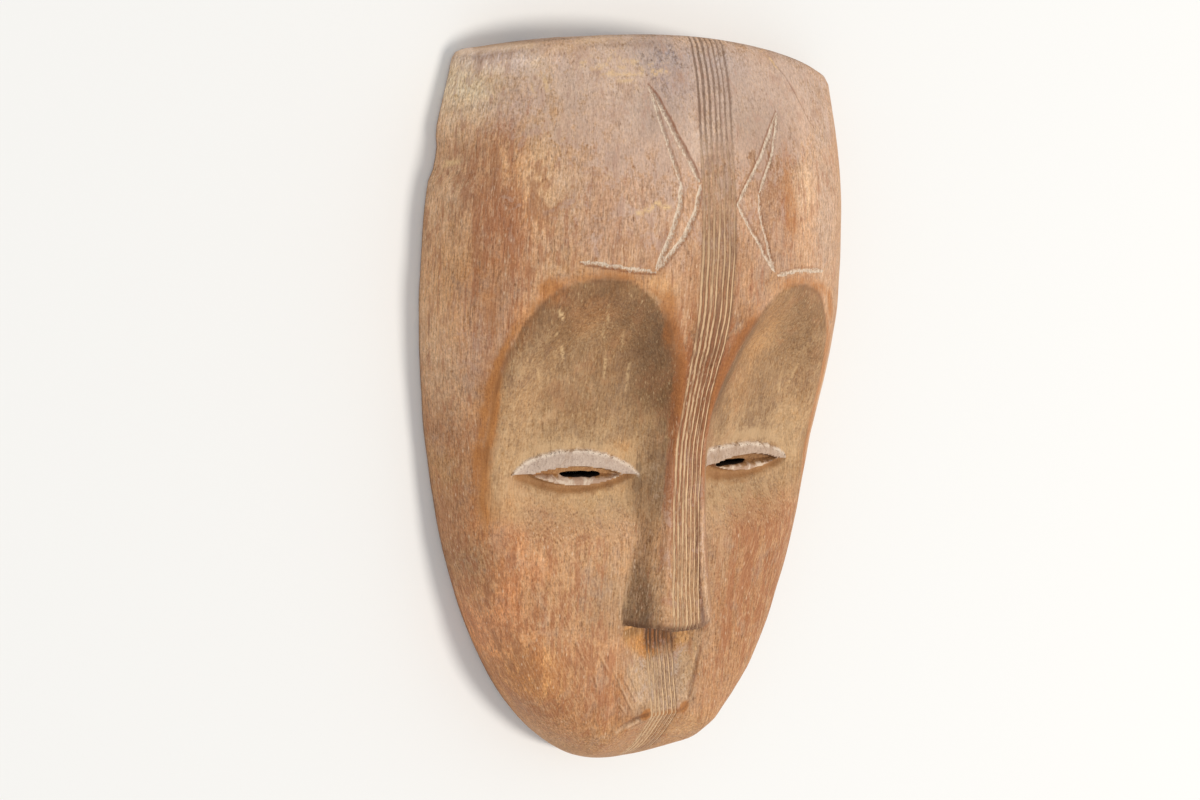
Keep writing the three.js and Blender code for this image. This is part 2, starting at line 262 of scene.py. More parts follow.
def groove_line(x, y):
    """1 in the bottom of a groove, 0 between grooves."""
    s = groove_coord(x, y)
    f = s - np.round(s)
    return clamp(1 - np.abs(f) / 0.30)


# each cut: points, half width, depth, chalk left in it, stain on one lip, and the side of that lip
CUTS = [
    ([(-39.8, 197.5), (-28.0, 175.0), (-13.4, 147.5)], 1.9, 1.2, 0.78, 1.0, 1),
    ([(-39.0, 194.0), (-31.8, 167.0), (-24.8, 146.5)], 1.4, 0.9, 0.86, 0.6, 1),
    ([(-12.9, 145.0), (-15.5, 132.0), (-22.5, 118.0), (-37.6, 98.8)], 1.85, 1.1, 1.20, 0.6, 1),
    ([(-24.4, 145.0), (-26.4, 133.0), (-30.5, 119.0), (-38.4, 99.6)], 1.9, 1.1, 1.20, 0.5, 1),
    ([(45.6, 188.0), (28.6, 161.0), (12.0, 137.0)], 1.55, 1.0, 1.15, 0.9, -1),
    ([(45.8, 186.0), (39.0, 166.0), (28.2, 144.0)], 1.45, 0.95, 1.15, 0.8, -1),
    ([(11.8, 135.6), (22.4, 120.5), (41.4, 98.4)], 1.5, 1.0, 1.25, 0.5, 1),
    ([(27.6, 141.5), (27.6, 133.5), (32.6, 118.0), (41.2, 99.0)], 1.4, 0.9, 1.25, 0.5, 1),
    ([(-80.0, 101.2), (-60.0, 99.4), (-39.6, 97.2)], 1.6, 1.2, 1.05, 1.0, -1),
    ([(43.6, 96.4), (60.0, 99.2), (88.0, 98.0)], 1.6, 1.0, 1.30, 0.5, 1),
    ([(-29.0, -177.2), (-20.5, -172.6), (-10.0, -170.2)], 1.7, 1.5, 0.00, 0.30, 1),    ([(9.0, -171.6), (13.5, -171.0), (17.8, -166.6)], 1.5, 0.9, 0.00, 0.30, 1),
    ([(25.4, -133.0), (22.0, -148.0), (16.6, -165.0)], 1.8, 0.55, 0.00, 0.62, 1),
    ([(46.5, 219.5), (57.0, 210.0), (66.0, 197.0), (75.5, 185.0), (82.0, 180.5)], 0.65, 0.40, 0.00, 0.35, 1),
]
# thin scratches that show as light lines only
SCRATCHES = [
    ([(-51.5, 128.6), (-43.5, 130.8), (-40.0, 134.8), (-36.4, 133.0), (-31.5, 132.0)], 0.95, 0.95),
    ([(-78.2, 207.2), (-58.0, 206.5), (-37.7, 204.9)], 0.5, 0.5),
    ([(-70.0, 211.0), (-50.0, 210.5), (-31.2, 208.6)], 0.45, 0.5),
    ([(-66.1, 201.2), (-45.0, 204.0), (-24.1, 207.0)], 0.5, 0.6),
    ([(-61.1, 197.9), (-44.1, 200.7)], 0.45, 0.5),
    ([(-73.0, 203.0), (-60.0, 209.0)], 0.45, 0.4),
    ([(-57.0, 212.0), (-48.0, 200.0)], 0.4, 0.35),
    ([(-133.5, 147.2), (-130.0, 149.8)], 1.4, 0.8),
    ([(-79.0, 53.0), (-76.0, 44.0)], 0.8, 0.6),
    ([(-92.0, 40.0), (-88.0, 33.0)], 0.6, 0.45),
    ([(-47.0, 62.0), (-44.0, 52.0)], 0.6, 0.4),
    ([(47.0, 219.0), (53.0, 213.5)], 0.8, 0.6),
    ([(-88.0, 74.0), (-84.5, 69.5)], 0.9, 0.8),
    ([(-86.0, 59.0), (-83.5, 62.0)], 0.8, 0.5),
    ([(-59.5, 66.0), (-54.0, 56.0)], 0.5, 0.6),
    ([(-62.0, 78.0), (-56.5, 66.0)], 0.45, 0.5),
    ([(-52.0, 46.0), (-51.0, 33.0)], 0.7, 0.55),
    ([(-38.0, 44.0), (-37.0, 26.0)], 0.7, 0.5),
    ([(88.0, 38.0), (86.0, 16.0)], 0.9, 0.45),
    ([(80.0, 26.0), (79.0, 10.0)], 0.7, 0.40),
    ([(-94.0, 198.0), (-93.0, 191.0)], 1.0, 0.55),
    ([(-100.0, 193.0), (-99.0, 187.0)], 0.9, 0.45),
    ([(-76.0, 205.0), (-50.0, 203.0), (-30.0, 203.6)], 0.4, 0.55),
    ([(-60.0, 215.0), (-44.0, 207.0), (-26.0, 205.0)], 0.4, 0.45),
]
# knife marks beside the mouth: dark lines with a light edge
MARKS = [
    ([(-33.5, -148.0), (-20.8, -170.4)], 0.75, 0.9),
    ([(-29.6, -146.0), (-18.6, -165.0)], 0.65, 0.7),
    ([(-26.6, -141.5), (-15.6, -164.6)], 0.65, 0.6),
    ([(-46.2, -131.1), (-38.6, -143.0)], 0.8, 0.7),
    ([(-32.0, -162.5), (-26.4, -169.6)], 0.8, 0.8),
    ([(-37.6, -138.0), (-28.5, -155.0)], 0.6, 0.5),
    ([(-49.5, -142.0), (-45.0, -152.0)], 0.8, 0.6),
    ([(-23.0, -140.0), (-13.0, -158.0)], 0.5, 0.35),
    ([(26.5, -150.0), (20.5, -166.0)], 0.6, 0.45),
    ([(31.0, -146.0), (24.0, -164.0)], 0.6, 0.35),
    ([(-62.0, -120.0), (-54.0, -136.0)], 0.7, 0.35),
    ([(-70.0, -104.0), (-60.0, -122.0)], 0.6, 0.30),
]


def segment_distance(x, y, a, b):
    dx, dy = b[0] - a[0], b[1] - a[1]
    ll = dx * dx + dy * dy
    t = clamp(((x - a[0]) * dx + (y - a[1]) * dy) / ll)
    px, py = x - (a[0] + t * dx), y - (a[1] + t * dy)
    side = np.sign(dx * (y - a[1]) - dy * (x - a[0]))
    return np.hypot(px, py), side, t


def line_field(x, y, pts, half):
    """Distance to a bent line over its half width, side of the line, and how far along it, from 0 to 1."""
    total = sum(math.dist(p, q) for p, q in zip(pts, pts[1:]))
    run, out, side, where = 0.0, np.full(x.shape, 99.0), np.zeros(x.shape), np.zeros(x.shape)
    for p, q in zip(pts, pts[1:]):
        length = math.dist(p, q)
        d, sg, t = segment_distance(x, y, p, q)
        along = (run + t * length) / total
        d = d / half
        m = d < out
        out, side, where = np.where(m, d, out), np.where(m, sg, side), np.where(m, along, where)
        run += length
    return out, side, where


def cut_field(x, y):
    """Relief of the cuts in mm, and weights of chalk, of stain on a lip and of the dark bottom."""
    relief, chalk, stain, dark, nearest = (np.zeros(x.shape) for _ in range(5))
    nearest += 99
    near = (np.abs(x) < 95) & (y < 224) & ((y > 92) | ((y < -125) & (np.abs(x) < 34)))
    xx, yy = x[near], y[near]
    wx = 0.45 * noise(xx / 9, yy / 9, 31) + 0.2 * noise(xx / 2.6, yy / 2.6, 33)
    a, b, c3, d4, n5 = relief[near], chalk[near], stain[near], dark[near], nearest[near]
    for pts, half, deep, pig, orange, which in CUTS:
        r, side, along = line_field(xx + wx, yy + 0.5 * wx, pts, half)
        ends = np.minimum(1, np.minimum(along, 1 - along) / 0.12 + 0.2)
        r = r / (0.45 + 0.55 * ends)
        v = clamp(1 - r)
        a = np.maximum(a, deep * ends * v ** 0.9)
        toward = side * which
        b = np.maximum(b, pig * step(1.0, 0.62, r) * (0.42 + 0.58 * step(0.15, -0.35, r * toward)))
        c3 = np.maximum(c3, orange * step(1.45, 1.0, r) * step(0.25, 0.75, r * toward))
        d4 = np.maximum(d4, (1 - min(pig, 1)) * step(0.8, 0.2, r) + 0.35 * orange * step(0.65, 0.2, np.abs(r * toward - 0.45)))
        n5 = np.minimum(n5, r)
    relief[near], chalk[near], stain[near], dark[near], nearest[near] = a, b, c3, d4, n5
    return relief, chalk, stain, clamp(dark), nearest


def scratch_field(x, y):
    out = np.zeros(x.shape)
    near = (np.abs(x) < 140) & (y < 224) & (y > 20)
    xx, yy = x[near], y[near]
    wx = 0.6 * noise(xx / 5, yy / 5, 35)
    o = out[near]
    for pts, half, strength in SCRATCHES:
        r, _, along = line_field(xx + wx, yy + wx, pts, half)
        o = np.maximum(o, 1.25 * strength * step(1.15, 0.5, r) * np.minimum(1, np.minimum(along, 1 - along) / 0.1 + 0.4))
    out[near] = o
    return out


def mark_field(x, y):
    """Weights of the dark knife marks and of the light edge beside each."""
    dark, light = np.zeros(x.shape), np.zeros(x.shape)
    near = (np.abs(x) < 80) & (y > -180) & (y < -95)
    xx, yy = x[near], y[near]
    wx = 0.5 * noise(xx / 6, yy / 6, 37)
    a, b = dark[near], light[near]
    for pts, half, strength in MARKS:
        r, side, along = line_field(xx + wx, yy, pts, half)
        ends = np.minimum(1, np.minimum(along, 1 - along) / 0.25 + 0.1)
        a = np.maximum(a, strength * ends * step(1.1, 0.4, r))
        b = np.maximum(b, strength * ends * step(2.9, 1.9, r) * step(0.9, 1.5, r) * (side > 0))
    dark[near], light[near] = a, b
    return dark, light


# ------------------------------------------------------------------ the carved face
def face_height(x, y):
    ax, w = np.abs(x), np.maximum(half_width(y), 1e-6)
    bend = MOUTH_DROOP * np.minimum(ax, 34) ** 2 * step(-120, -150, y) * step(BOTTOM_Y, -200, y)
    ye = np.where(y < -120, y + bend, y)
    face = arch(x, w, face_z(ye, ax), squareness(y))
    lip = clamp((y - MOUTH_Y) / 44, 0, 1.02) * step(-95, -118, y)
    lip_half = mix(20, 30, clamp((y - MOUTH_Y) / 44))
    face = face - 9 * lip * step(lip_half * 1.15, lip_half * 0.2, ax)
    ramp = np.where(y < SOCKET_UP + 6, socket_ramp(x, y), 0)
    depth = face - socket_floor(ax, y)
    face = face - np.maximum(depth, 0) * ramp + eye_shape(x, y)[0] * ramp
    half = nose_half(x, y)
    d = ax - half
    nose = np.where(y >= socket_up(x), face, arch(x, w, ridge_z(y), 2.1))
    nose = nose - np.where(d > -2, NOSE_SIDE * (np.sqrt(clamp(d + 2, 0, 1e9) ** 2 + 9) - 3), 0)
    bow = nose_bow(ax)
    nose = nose - 40 * step(NOSE_TIP_Y + 0.5 - bow, NOSE_TIP_Y - 6.5 - bow, y) - 2.4 * step(NOSE_TIP_Y + 5.5 - bow, NOSE_TIP_Y - bow, y)
    k = 3.01 * step(SOCKET_UP + 8, SOCKET_UP - 20, y) + 1e-6
    h = np.maximum(k - np.abs(face - nose), 0) / k
    both = np.maximum(face, nose) + h * h * k / 4
    return np.where((y >= SOCKET_UP + 8) | (y < NOSE_TIP_Y - 7), face, both)


def carving(x, y):
    """Fine relief added to the face, in mm."""
    w = np.maximum(half_width(y), 1e-6)
    inner = step(1.0, 0.9, np.abs(x) / w)
    eye = eye_shape(x, y)
    eyes = clamp(eye[1] + eye[2] + eye[3] + eye[4])
    marks = 0.30 * fbm(x / 15, y / 62, 41, 2) + 0.22 * noise(x / 6.5, y / 38, 43) * step(30, 60, np.abs(y - 10))
    out = marks * (1 - eyes) * inner
    out = out - groove_depth(y) * groove_line(x, y) * groove_weight(x, y)
    out = out - cut_field(x, y)[0] * (1 - 0.25 * clamp(noise(x / 2.2, y / 2.2, 51))) - 0.4 * mark_field(x, y)[0]
    # small dents and worn places
    for cx, cy, rx, ry, deep in ((-113, 143, 4.0, 5.0, 0.8), (-12.0, -112.2, 2.2, 1.6, 1.8), (-3.0, -112.4, 1.3, 1.3, 0.8), (9.5, -111.0, 1.8, 1.2, 1.0), (-96, -52, 2.2, 3.0, 0.6), (-22.5, -34, 1.2, 7.5, 0.9), (-60, 190, 7, 4, 0.35), (88, 150, 2, 9, 0.4), (-128, 20, 3, 8, 0.5)):
        out = out - deep * np.exp(-(((x - cx) / rx) ** 2 + ((y - cy) / ry) ** 2))
    return out


# ------------------------------------------------------------------ a mesh that is fine where the carving is fine
NP0, NQ0, FINEST = 30, 18, 5
NP, NQ = NP0 << FINEST, NQ0 << FINEST
ROUND_ARC = TOP_ROUND * PI / 2


def profile_table():
    ys = np.concatenate([BOTTOM_Y + (MOUTH_Y - BOTTOM_Y) * (1 - np.cos(np.linspace(0, PI / 2, 400))), np.linspace(MOUTH_Y, TOP_Y - TOP_ROUND, 500)[1:]])
    zs = face_z(ys)
    arc = np.concatenate([[0], np.cumsum(np.hypot(np.diff(ys), np.minimum(np.abs(np.diff(zs)), 3)))])
    return ys, arc


PROFILE_Y, PROFILE_ARC = profile_table()
END_WALL = 62.0
FULL_ARC = PROFILE_ARC[-1] + ROUND_ARC + END_WALL


def place(p, q):
    """Lattice place to millimetres: p across from -1 to 1, q from the chin's end, 0, over the top edge to the rim, 1."""
    a = q * FULL_ARC
    y0 = np.interp(a, PROFILE_ARC, PROFILE_Y)
    over = clamp((a - PROFILE_ARC[-1]) / ROUND_ARC) * PI / 2
    y0 = np.where(a > PROFILE_ARC[-1], TOP_Y - TOP_ROUND + TOP_ROUND * np.sin(over), y0)
    shrink = TOP_ROUND * (1 - np.cos(over))
    k = 1 - clamp((a - PROFILE_ARC[-1] - ROUND_ARC) / END_WALL)
    s = np.sin(p * PI / 2)
    s = np.where(np.abs(p) >= 1, np.sign(p), s)
    y = y0 - TOP_ARCH * step(120, TOP_Y, y0) * s * s
    full = half_width(y)
    x = (full - shrink) * s
    z = face_height(full * s * 0.999999, y) * (1 - shrink / 90) * k
    # relief, faded towards the rim and the end wall
    fade = step(0, 0.05, np.sqrt(clamp(1 - s * s))) * np.where(k < 1, 0, 1) * np.cos(over) ** 0.5 * step(BOTTOM_Y, BOTTOM_Y + 8, y)
    z = z + carving(x, y) * fade
    # the end wall's slight unevenness
    y = y + np.where(k < 1, 0.5 * fbm(x / 17, z / 13, 61, 2) * step(1.0, 0.9, k) * step(0, 0.06, k), 0)
    # the worn dent in the left edge
    x = x + np.where(s < 0, NOTCH_DEEP * np.exp(-(((y - NOTCH_Y) / NOTCH_LONG) ** 4)) * step(0.86, 1, -s), 0)
    # hand-cut sides: shallow unevenness, and a rounded lower edge
    out = 0.6 * fbm(y / 24, z / 16, 71, 2) * step(0.6, 0.95, np.abs(s)) * step(BOTTOM_Y, BOTTOM_Y + 12, y)
    x = x + np.sign(s) * (out + 0.5) * step(0, 6, half_width(y))
    z = np.where(np.abs(s) >= 1, 0, np.maximum(z, 0))
    low = clamp(1 - z / 2.0)
    tuck = 0.8 * (1 - np.sqrt(clamp(1 - low * low)))
    x = x * (1 - tuck / np.maximum(np.abs(x) + 2, 12))
    y = np.where((k < 1) & (z < 2), y - tuck, y)
    pole = q <= 0
    x, y, z = np.where(pole, 0, x), np.where(pole, BOTTOM_Y + 1.0, y), np.where(pole, 0, z)
    y = np.maximum(y, BOTTOM_Y + 0.3)
    z = np.where(q >= 1, 0, z)
    return x, y, z


def wanted_level():
    """The level of subdivision each finest cell should reach."""
    p = (np.arange(NP) + 0.5) / NP * 2 - 1
    q = (np.arange(NQ) + 0.5) / NQ
    P, Q = np.meshgrid(p, q)
    a = Q * FULL_ARC
    y = np.interp(a, PROFILE_ARC, PROFILE_Y)
    over_top = a > PROFILE_ARC[-1]
    s = np.sin(P * PI / 2)
    y = y - TOP_ARCH * step(120, TOP_Y, y) * s * s
    w = half_width(y)
    x = w * s
    ax = np.abs(x)
    level = np.full(P.shape, 2)

    def need(mask, lv):
        level[mask & (level < lv)] = lv

    need((y > -150) & (y < 110) & (ax < 122), 3)
    need((y <= -150) & (ax < 45) & (y > -218), 3)
    e, _ = socket_e(x, y)
    need((y > -10) & (np.abs(e - 0.97) < 0.10) & (y < 102) & (ax < 122), 4)
    need((ax < 32) & (y < 10) & (y > -124), 4)
    need((ax < 42) & (y < -168) & (y > -186), 4)
    band = np.abs(groove_coord(x, y)) < GROOVES / 2 + 0.12
    need(band & (y > -219) & ~(a > PROFILE_ARC[-1] + ROUND_ARC), 5)
    eye = ((ax - LID_X) / (LID_HALF + 2.0)) ** 2 + ((y - EYE_Y - 1.0) / 15.5) ** 2 < 1
    need(eye, 5)
    need((ax < 34) & (np.abs(y - (NOSE_TIP_Y - 3)) < 6), 5)
    need(((cut_field(x, y)[4] < 1.45) | (sum(mark_field(x, y)) > 0)) & ~over_top, 5)
    need((scratch_field(x, y) > 0) & ~over_top, 4)
    need(over_top & (a < PROFILE_ARC[-1] + ROUND_ARC + 3), 3)
    # wide cells near the chin's end, where the columns close up
    narrow = w < 60
    level[narrow & (level > 4)] = 4
    level[(w < 30) & (level > 3)] = 3
    return level


def quad_mesh(level):
    """Leaf cells of a balanced quadtree, as triangles on the finest lattice."""
    def block(m, l):
        f = 1 << (FINEST - l)
        return m.reshape(m.shape[0] // f, f, m.shape[1] // f, f).max(axis=(1, 3))

    splits = [None] * (FINEST + 1)
    splits[FINEST] = np.zeros((NQ0 << FINEST, NP0 << FINEST), bool)
    for l in range(FINEST - 1, -1, -1):
        m = block(level, l) > l
        up = splits[l + 1]
        grown = up.copy()
        grown[1:] |= up[:-1]
        grown[:-1] |= up[1:]
        grown[:, 1:] |= up[:, :-1]
        grown[:, :-1] |= up[:, 1:]
        parent = grown.reshape(m.shape[0], 2, m.shape[1], 2).max(axis=(1, 3))
        splits[l] = m | parent
    tris = []
    for l in range(FINEST + 1):
        split = splits[l]
        exists = np.ones_like(split) if l == 0 else np.repeat(np.repeat(splits[l - 1], 2, 0), 2, 1)
        leaf = exists & ~split
        j, i = np.nonzero(leaf)  # j along q, i along p
        f = 1 << (FINEST - l)
        x0, y0 = i * f, j * f
        x1, y1 = x0 + f, y0 + f

        def finer(dj, di):
            jj, ii = j + dj, i + di
            ok = (jj >= 0) & (jj < split.shape[0]) & (ii >= 0) & (ii < split.shape[1])
            out = np.zeros(len(j), bool)
            out[ok] = split[jj[ok], ii[ok]]
            return out

        down, rgt, upp, lft = finer(-1, 0), finer(0, 1), finer(1, 0), finer(0, -1)
        plain = ~(down | rgt | upp | lft)

        def vid(x, y):
            return y * (NP + 1) + x

        a, b, c2, d = vid(x0, y0), vid(x1, y0), vid(x1, y1), vid(x0, y1)
        flip = ((i + j) % 2 == 0)
        m = plain & flip
        tris += [np.stack([a[m], b[m], c2[m]], 1), np.stack([a[m], c2[m], d[m]], 1)]
        m = plain & ~flip
        tris += [np.stack([a[m], b[m], d[m]], 1), np.stack([b[m], c2[m], d[m]], 1)]
        if f == 1:
            continue
        m = ~plain
        h = f // 2
        mid = vid(x0 + h, y0 + h)
        for has, e0, e1, em in ((down, a, b, vid(x0 + h, y0)), (rgt, b, c2, vid(x1, y0 + h)), (upp, c2, d, vid(x0 + h, y1)), (lft, d, a, vid(x0, y0 + h))):
            k = m & has
            tris += [np.stack([mid[k], e0[k], em[k]], 1), np.stack([mid[k], em[k], e1[k]], 1)]
            k = m & ~has
            tris.append(np.stack([mid[k], e0[k], e1[k]], 1))
    return np.concatenate(tris)


def make_mesh(name, verts, faces):
    me = bpy.data.meshes.new(name)
    me.from_pydata(verts.tolist() if hasattr(verts, "tolist") else verts, [], faces.tolist() if hasattr(faces, "tolist") else faces)
    me.update()
    ob = bpy.data.objects.new(name, me)
    bpy.context.scene.collection.objects.link(ob)
    return ob


def outer_solid():
    tri = quad_mesh(wanted_level())
    used, inv = np.unique(tri, return_inverse=True)
    tri = inv.reshape(tri.shape)
    px, qy = used % (NP + 1), used // (NP + 1)
    x, y, z = place(px / NP * 2 - 1, qy / NQ)
    pts = np.stack([x, y, z], 1)
    # the flat underside: strips between the two side columns, and a fan along the top end
    left = np.nonzero((px == 0) & (qy > 0))[0]
    right_ = np.nonzero((px == NP) & (qy > 0))[0]
    left, right_ = left[np.argsort(qy[left])], right_[np.argsort(qy[right_])]
    assert len(left) == len(right_)
    pole = np.nonzero(qy == 0)[0]
    top = np.nonzero(qy == NQ)[0]
    top = top[np.argsort(px[top])]
    base = [(pole[0], left[0], right_[0])]
    for i in range(len(left) - 1):
        base += [(left[i], right_[i + 1], right_[i]), (left[i], left[i + 1], right_[i + 1])]
    # the end wall's columns all stand on the same line, so only the last row's curve is left to close
    for i in range(1, len(top) - 1):
        base.append((top[0], top[i], top[i + 1]))
    faces = np.concatenate([tri, np.array(base)])
    # weld points that coincide: the chin's end and the side columns of the end wall
    key = np.round(pts, 4)
    _, first, inv2 = np.unique(key, axis=0, return_index=True, return_inverse=True)
    inv2 = inv2.reshape(-1)
    faces = inv2[faces]
    ok = (faces[:, 0] != faces[:, 1]) & (faces[:, 1] != faces[:, 2]) & (faces[:, 2] != faces[:, 0])
    return pts[first], faces[ok]


# ------------------------------------------------------------------ the hollow
def hollow_z(y):
    back_ = 76 - 0.0016 * (y - 105) ** 2
    eyes = mix(49, 76, step(-10, 112, y))
    low = mix(49, 46, step(-105, -135, y)) + 6 * step(-140, -165, y)
    end = 52 * (1 - clamp((-165 - y) / (-165 - HOLLOW_BOTTOM)) ** 1.7) ** 0.6
    return np.where(y >= 105, back_, np.where(y >= -24, eyes, np.where(y >= -105, 49, np.where(y >= -165, low, end))))


def hollow_half(y):
    t = clamp((WIDEST_Y - y) / (WIDEST_Y - HOLLOW_BOTTOM))
    w = np.where(y >= WIDEST_Y, half_width(y) - RIM, (HALF_WIDTH - RIM) * (1 - t * t) ** 0.515)
    return np.where(y > 165, w * (1 - clamp((y - 165) / (HOLLOW_TOP - 165)) ** 5) ** 0.2, w)


def hollow_solid():
    n, low = 64, -6.0
    ys = np.concatenate([HOLLOW_BOTTOM + 50 * (1 - np.cos(np.arange(1, 17) / 16 * PI / 2)), np.arange(HOLLOW_BOTTOM + 54, 164, 4.0), 165 + (HOLLOW_TOP - 165) * np.sin(np.arange(0, 16) / 16 * PI / 2)])
    rows = [[(0.0, HOLLOW_BOTTOM, low)]]
    for y in ys:
        w, top = float(hollow_half(np.array(y))), 1.0 if y <= 165 else (1 - ((y - 165) / (HOLLOW_TOP - 165)) ** 3) ** 0.45
        a = PI * (1 - np.arange(n + 1) / n)
        cs, sn = np.cos(a), np.sin(a)
        x = w * np.sign(cs) * np.abs(cs) ** (2 / 2.35)
        z = float(hollow_z(np.array(y))) * top * np.abs(sn) ** (2 / 2.35)
        yy = np.full(x.shape, y)
        # gouge marks: short scallops side by side, each row shifted
        lane = np.floor(x / 11.0)
        along = yy / 31.0 + hash2(lane, lane * 0, 91)
        f, g = x / 11.0 - lane - 0.5, along - np.floor(along) - 0.5
        scallop = (f * f * 3.2 + g * g * 1.1) * (0.7 + 0.5 * hash2(lane, np.floor(along), 92))
        lift = -1.5 * scallop + 0.5 * noise(x / 30, yy / 34, 93)
        fade = step(0.0, 0.22, sn) * step(HOLLOW_BOTTOM, HOLLOW_BOTTOM + 14, y) * step(HOLLOW_TOP, HOLLOW_TOP - 14, y)
        z = z + lift * fade - 0.2
        z[0] = z[-1] = 0
        flare = np.exp(-np.maximum(z, 0) / 1.2) * 1.2
        x = x + np.sign(x) * flare * (np.abs(sn) < 0.5)
        row = [(float(-w - 1.2), float(y), low)] + [(float(u), float(y), float(v)) for u, v in zip(x, z)] + [(float(w + 1.2), float(y), low)]
        rows.append(row)
    rows.append([(u * 0.2, HOLLOW_TOP, low) for u, _, _ in rows[-1]])
    pts, ids, seen = [], [], {}
    for row in rows:
        line = []
        for pt in row:
            key = tuple(round(v, 3) for v in pt)
            if key not in seen:
                seen[key] = len(pts)
                pts.append(pt)
            line.append(seen[key])
        ids.append(line)
    faces = []

    def tri(a, b, c2):
        if a != b and b != c2 and a != c2:
            faces.append((a, b, c2))

    for i in range(len(ids) - 1):
        lo, hi = ids[i], ids[i + 1]
        for j in range(len(hi) - 1):
            a = lo[0 if len(lo) == 1 else j]
            b = lo[0 if len(lo) == 1 else j + 1]
            tri(a, b, hi[j + 1])
            tri(a, hi[j + 1], hi[j])
        a, b, c2, d = lo[0], lo[-1], hi[-1], hi[0]
        if i + 1 < len(ids) - 1:
            tri(a, c2, b)
            tri(a, d, c2)
        else:
            tri(a, c2, b)
            for j in range(len(hi) - 1, 0, -1):
                tri(a, hi[j - 1], hi[j])
    return np.array(pts), np.array(faces)


def slit_solid(side):
    n = 28
    t = -1 + 2 * np.arange(n + 1) / n
    mid_x, half, mid_y, tilt = SLITS[side]
    h = (SLIT_TALL if side < 0 else 3.0) / 2 * (1 - t ** 4) ** 0.55
    wob = 0.14 * noise(t * 5, 0 * t, 97 + side)
    mid_y = mid_y + tilt * half * t
    up_, dn = mid_y + h * (1 + wob), mid_y - h * (1 - wob)
    ring = [(side * (mid_x + half * a), b) for a, b in zip(t, up_)] + [(side * (mid_x + half * a), b) for a, b in list(zip(t, dn))[-2:0:-1]]
    if side > 0:
        ring = ring[::-1]
    m = len(ring)
    pts = [(x, y, 20.0) for x, y in ring] + [(x, y, 90.0) for x, y in ring]
    faces = [(i, (i + 1) % m, m + (i + 1) % m, m + i) for i in range(m)]
    faces += [tuple(range(m))[::-1], tuple(range(m, 2 * m))]
    return pts, faces


def scaled(ob):
    ob.data.transform(Matrix.Scale(0.001, 4))
    return ob


pts, faces = outer_solid()
mask = scaled(make_mesh("carved_mask", pts, faces))
hp, hf = hollow_solid()
hollow = scaled(make_mesh("hollow_tool", hp, hf))
tools = [hollow]
for side in (-1, 1):
    sp, sf = slit_solid(side)
    t = scaled(make_mesh("slit_tool_%s" % ("l" if side < 0 else "r"), sp, sf))
    bm = bmesh.new()
    bm.from_mesh(t.data)
    bmesh.ops.recalc_face_normals(bm, faces=bm.faces)
    bm.to_mesh(t.data)
    bm.free()
    tools.append(t)
for t in tools:
    mod = mask.modifiers.new("cut", "BOOLEAN")
    mod.operation = "DIFFERENCE"
    mod.object = t
    mod.solver = "MANIFOLD"
bpy.context.view_layer.update()
dep = bpy.context.evaluated_depsgraph_get()
cut = bpy.data.meshes.new_from_object(mask.evaluated_get(dep))
mask.modifiers.clear()
old = mask.data
mask.data = cut
cut.name = "carved_mask"
bpy.data.meshes.remove(old)
for t in tools:
    me = t.data
    bpy.data.objects.remove(t)
    bpy.data.meshes.remove(me)

bm = bmesh.new()
bm.from_mesh(mask.data)
bmesh.ops.remove_doubles(bm, verts=bm.verts, dist=2e-6)
bmesh.ops.dissolve_degenerate(bm, dist=1e-6, edges=bm.edges)
bmesh.ops.triangulate(bm, faces=[f for f in bm.faces if len(f.verts) > 3])
open_edges = sum(1 for e in bm.edges if len(e.link_faces) != 2)
for f in bm.faces:
    f.smooth = True
for e in bm.edges:
    if len(e.link_faces) == 2:
        e.smooth = e.calc_face_angle(0) < math.radians(48)
print("mask mesh: %d faces, %d open edges" % (len(bm.faces), open_edges))
bm.to_mesh(mask.data)
bm.free()
mask.data.update()

# ------------------------------------------------------------------ where each finish lies, worked out at each vertex
me = mask.data
n_v = len(me.vertices)
co = np.zeros(n_v * 3)
me.vertices.foreach_get("co", co)
co = co.reshape(-1, 3) * 1000
X, Y, Z = co[:, 0], co[:, 1], co[:, 2]
AX = np.abs(X)
W = np.maximum(half_width(Y), 1e-6)
inside = (AX < hollow_half(Y) + 1.5) & (Z < arch(X, np.maximum(hollow_half(Y), 1e-3), hollow_z(Y), 2.35) + 4.0) & (Y < HOLLOW_TOP + 1) & (Y > HOLLOW_BOTTOM - 1)
surface = face_height(np.clip(X, -W * 0.99999, W * 0.99999), Y)
slit_wall = np.zeros(n_v, bool)
for side, (mid_x, half, mid_y, tilt) in SLITS.items():
    slit_wall |= (~inside) & (Z < surface - 1.5) & (np.abs(X * side - mid_x) < half + 0.6) & (np.abs(Y - mid_y - tilt * (X * side - mid_x)) < 3.2)
# painted shade: the slits' walls, coloured near-black so the holes read dark
slit_shade = np.zeros(n_v)
for side, (mid_x, half, mid_y, tilt) in SLITS.items():
    slit_shade[(Z < surface - 2.0) & (Z > 20) & (np.abs(X * side - mid_x) < half + 0.4) & (np.abs(Y - mid_y - tilt * (X * side - mid_x)) < SLIT_TALL / 2 + 0.4)] = 1
under = (Z < 0.4) & ~inside
front = ~(inside | under | slit_wall)


def srgb(r, g, b):
    v = np.array([r, g, b], float) / 255
    return np.where(v <= 0.04045, v / 12.92, ((v + 0.055) / 1.055) ** 2.4)


def blob(cx, cy, rx, ry, turn=0.0, soft=0.6, rough=0.25, seed=1):
    """A soft patch on the face with an uneven edge, 1 inside and 0 outside."""
    t = math.radians(turn)
    dx, dy = X - cx, Y - cy
    u, v = (dx * math.cos(t) + dy * math.sin(t)) / rx, (-dx * math.sin(t) + dy * math.cos(t)) / ry
    r = np.hypot(u, v) + rough * fbm(X / 14, Y / 26, seed, 3)
    return step(1 + soft / 2, 1 - soft / 2, r)


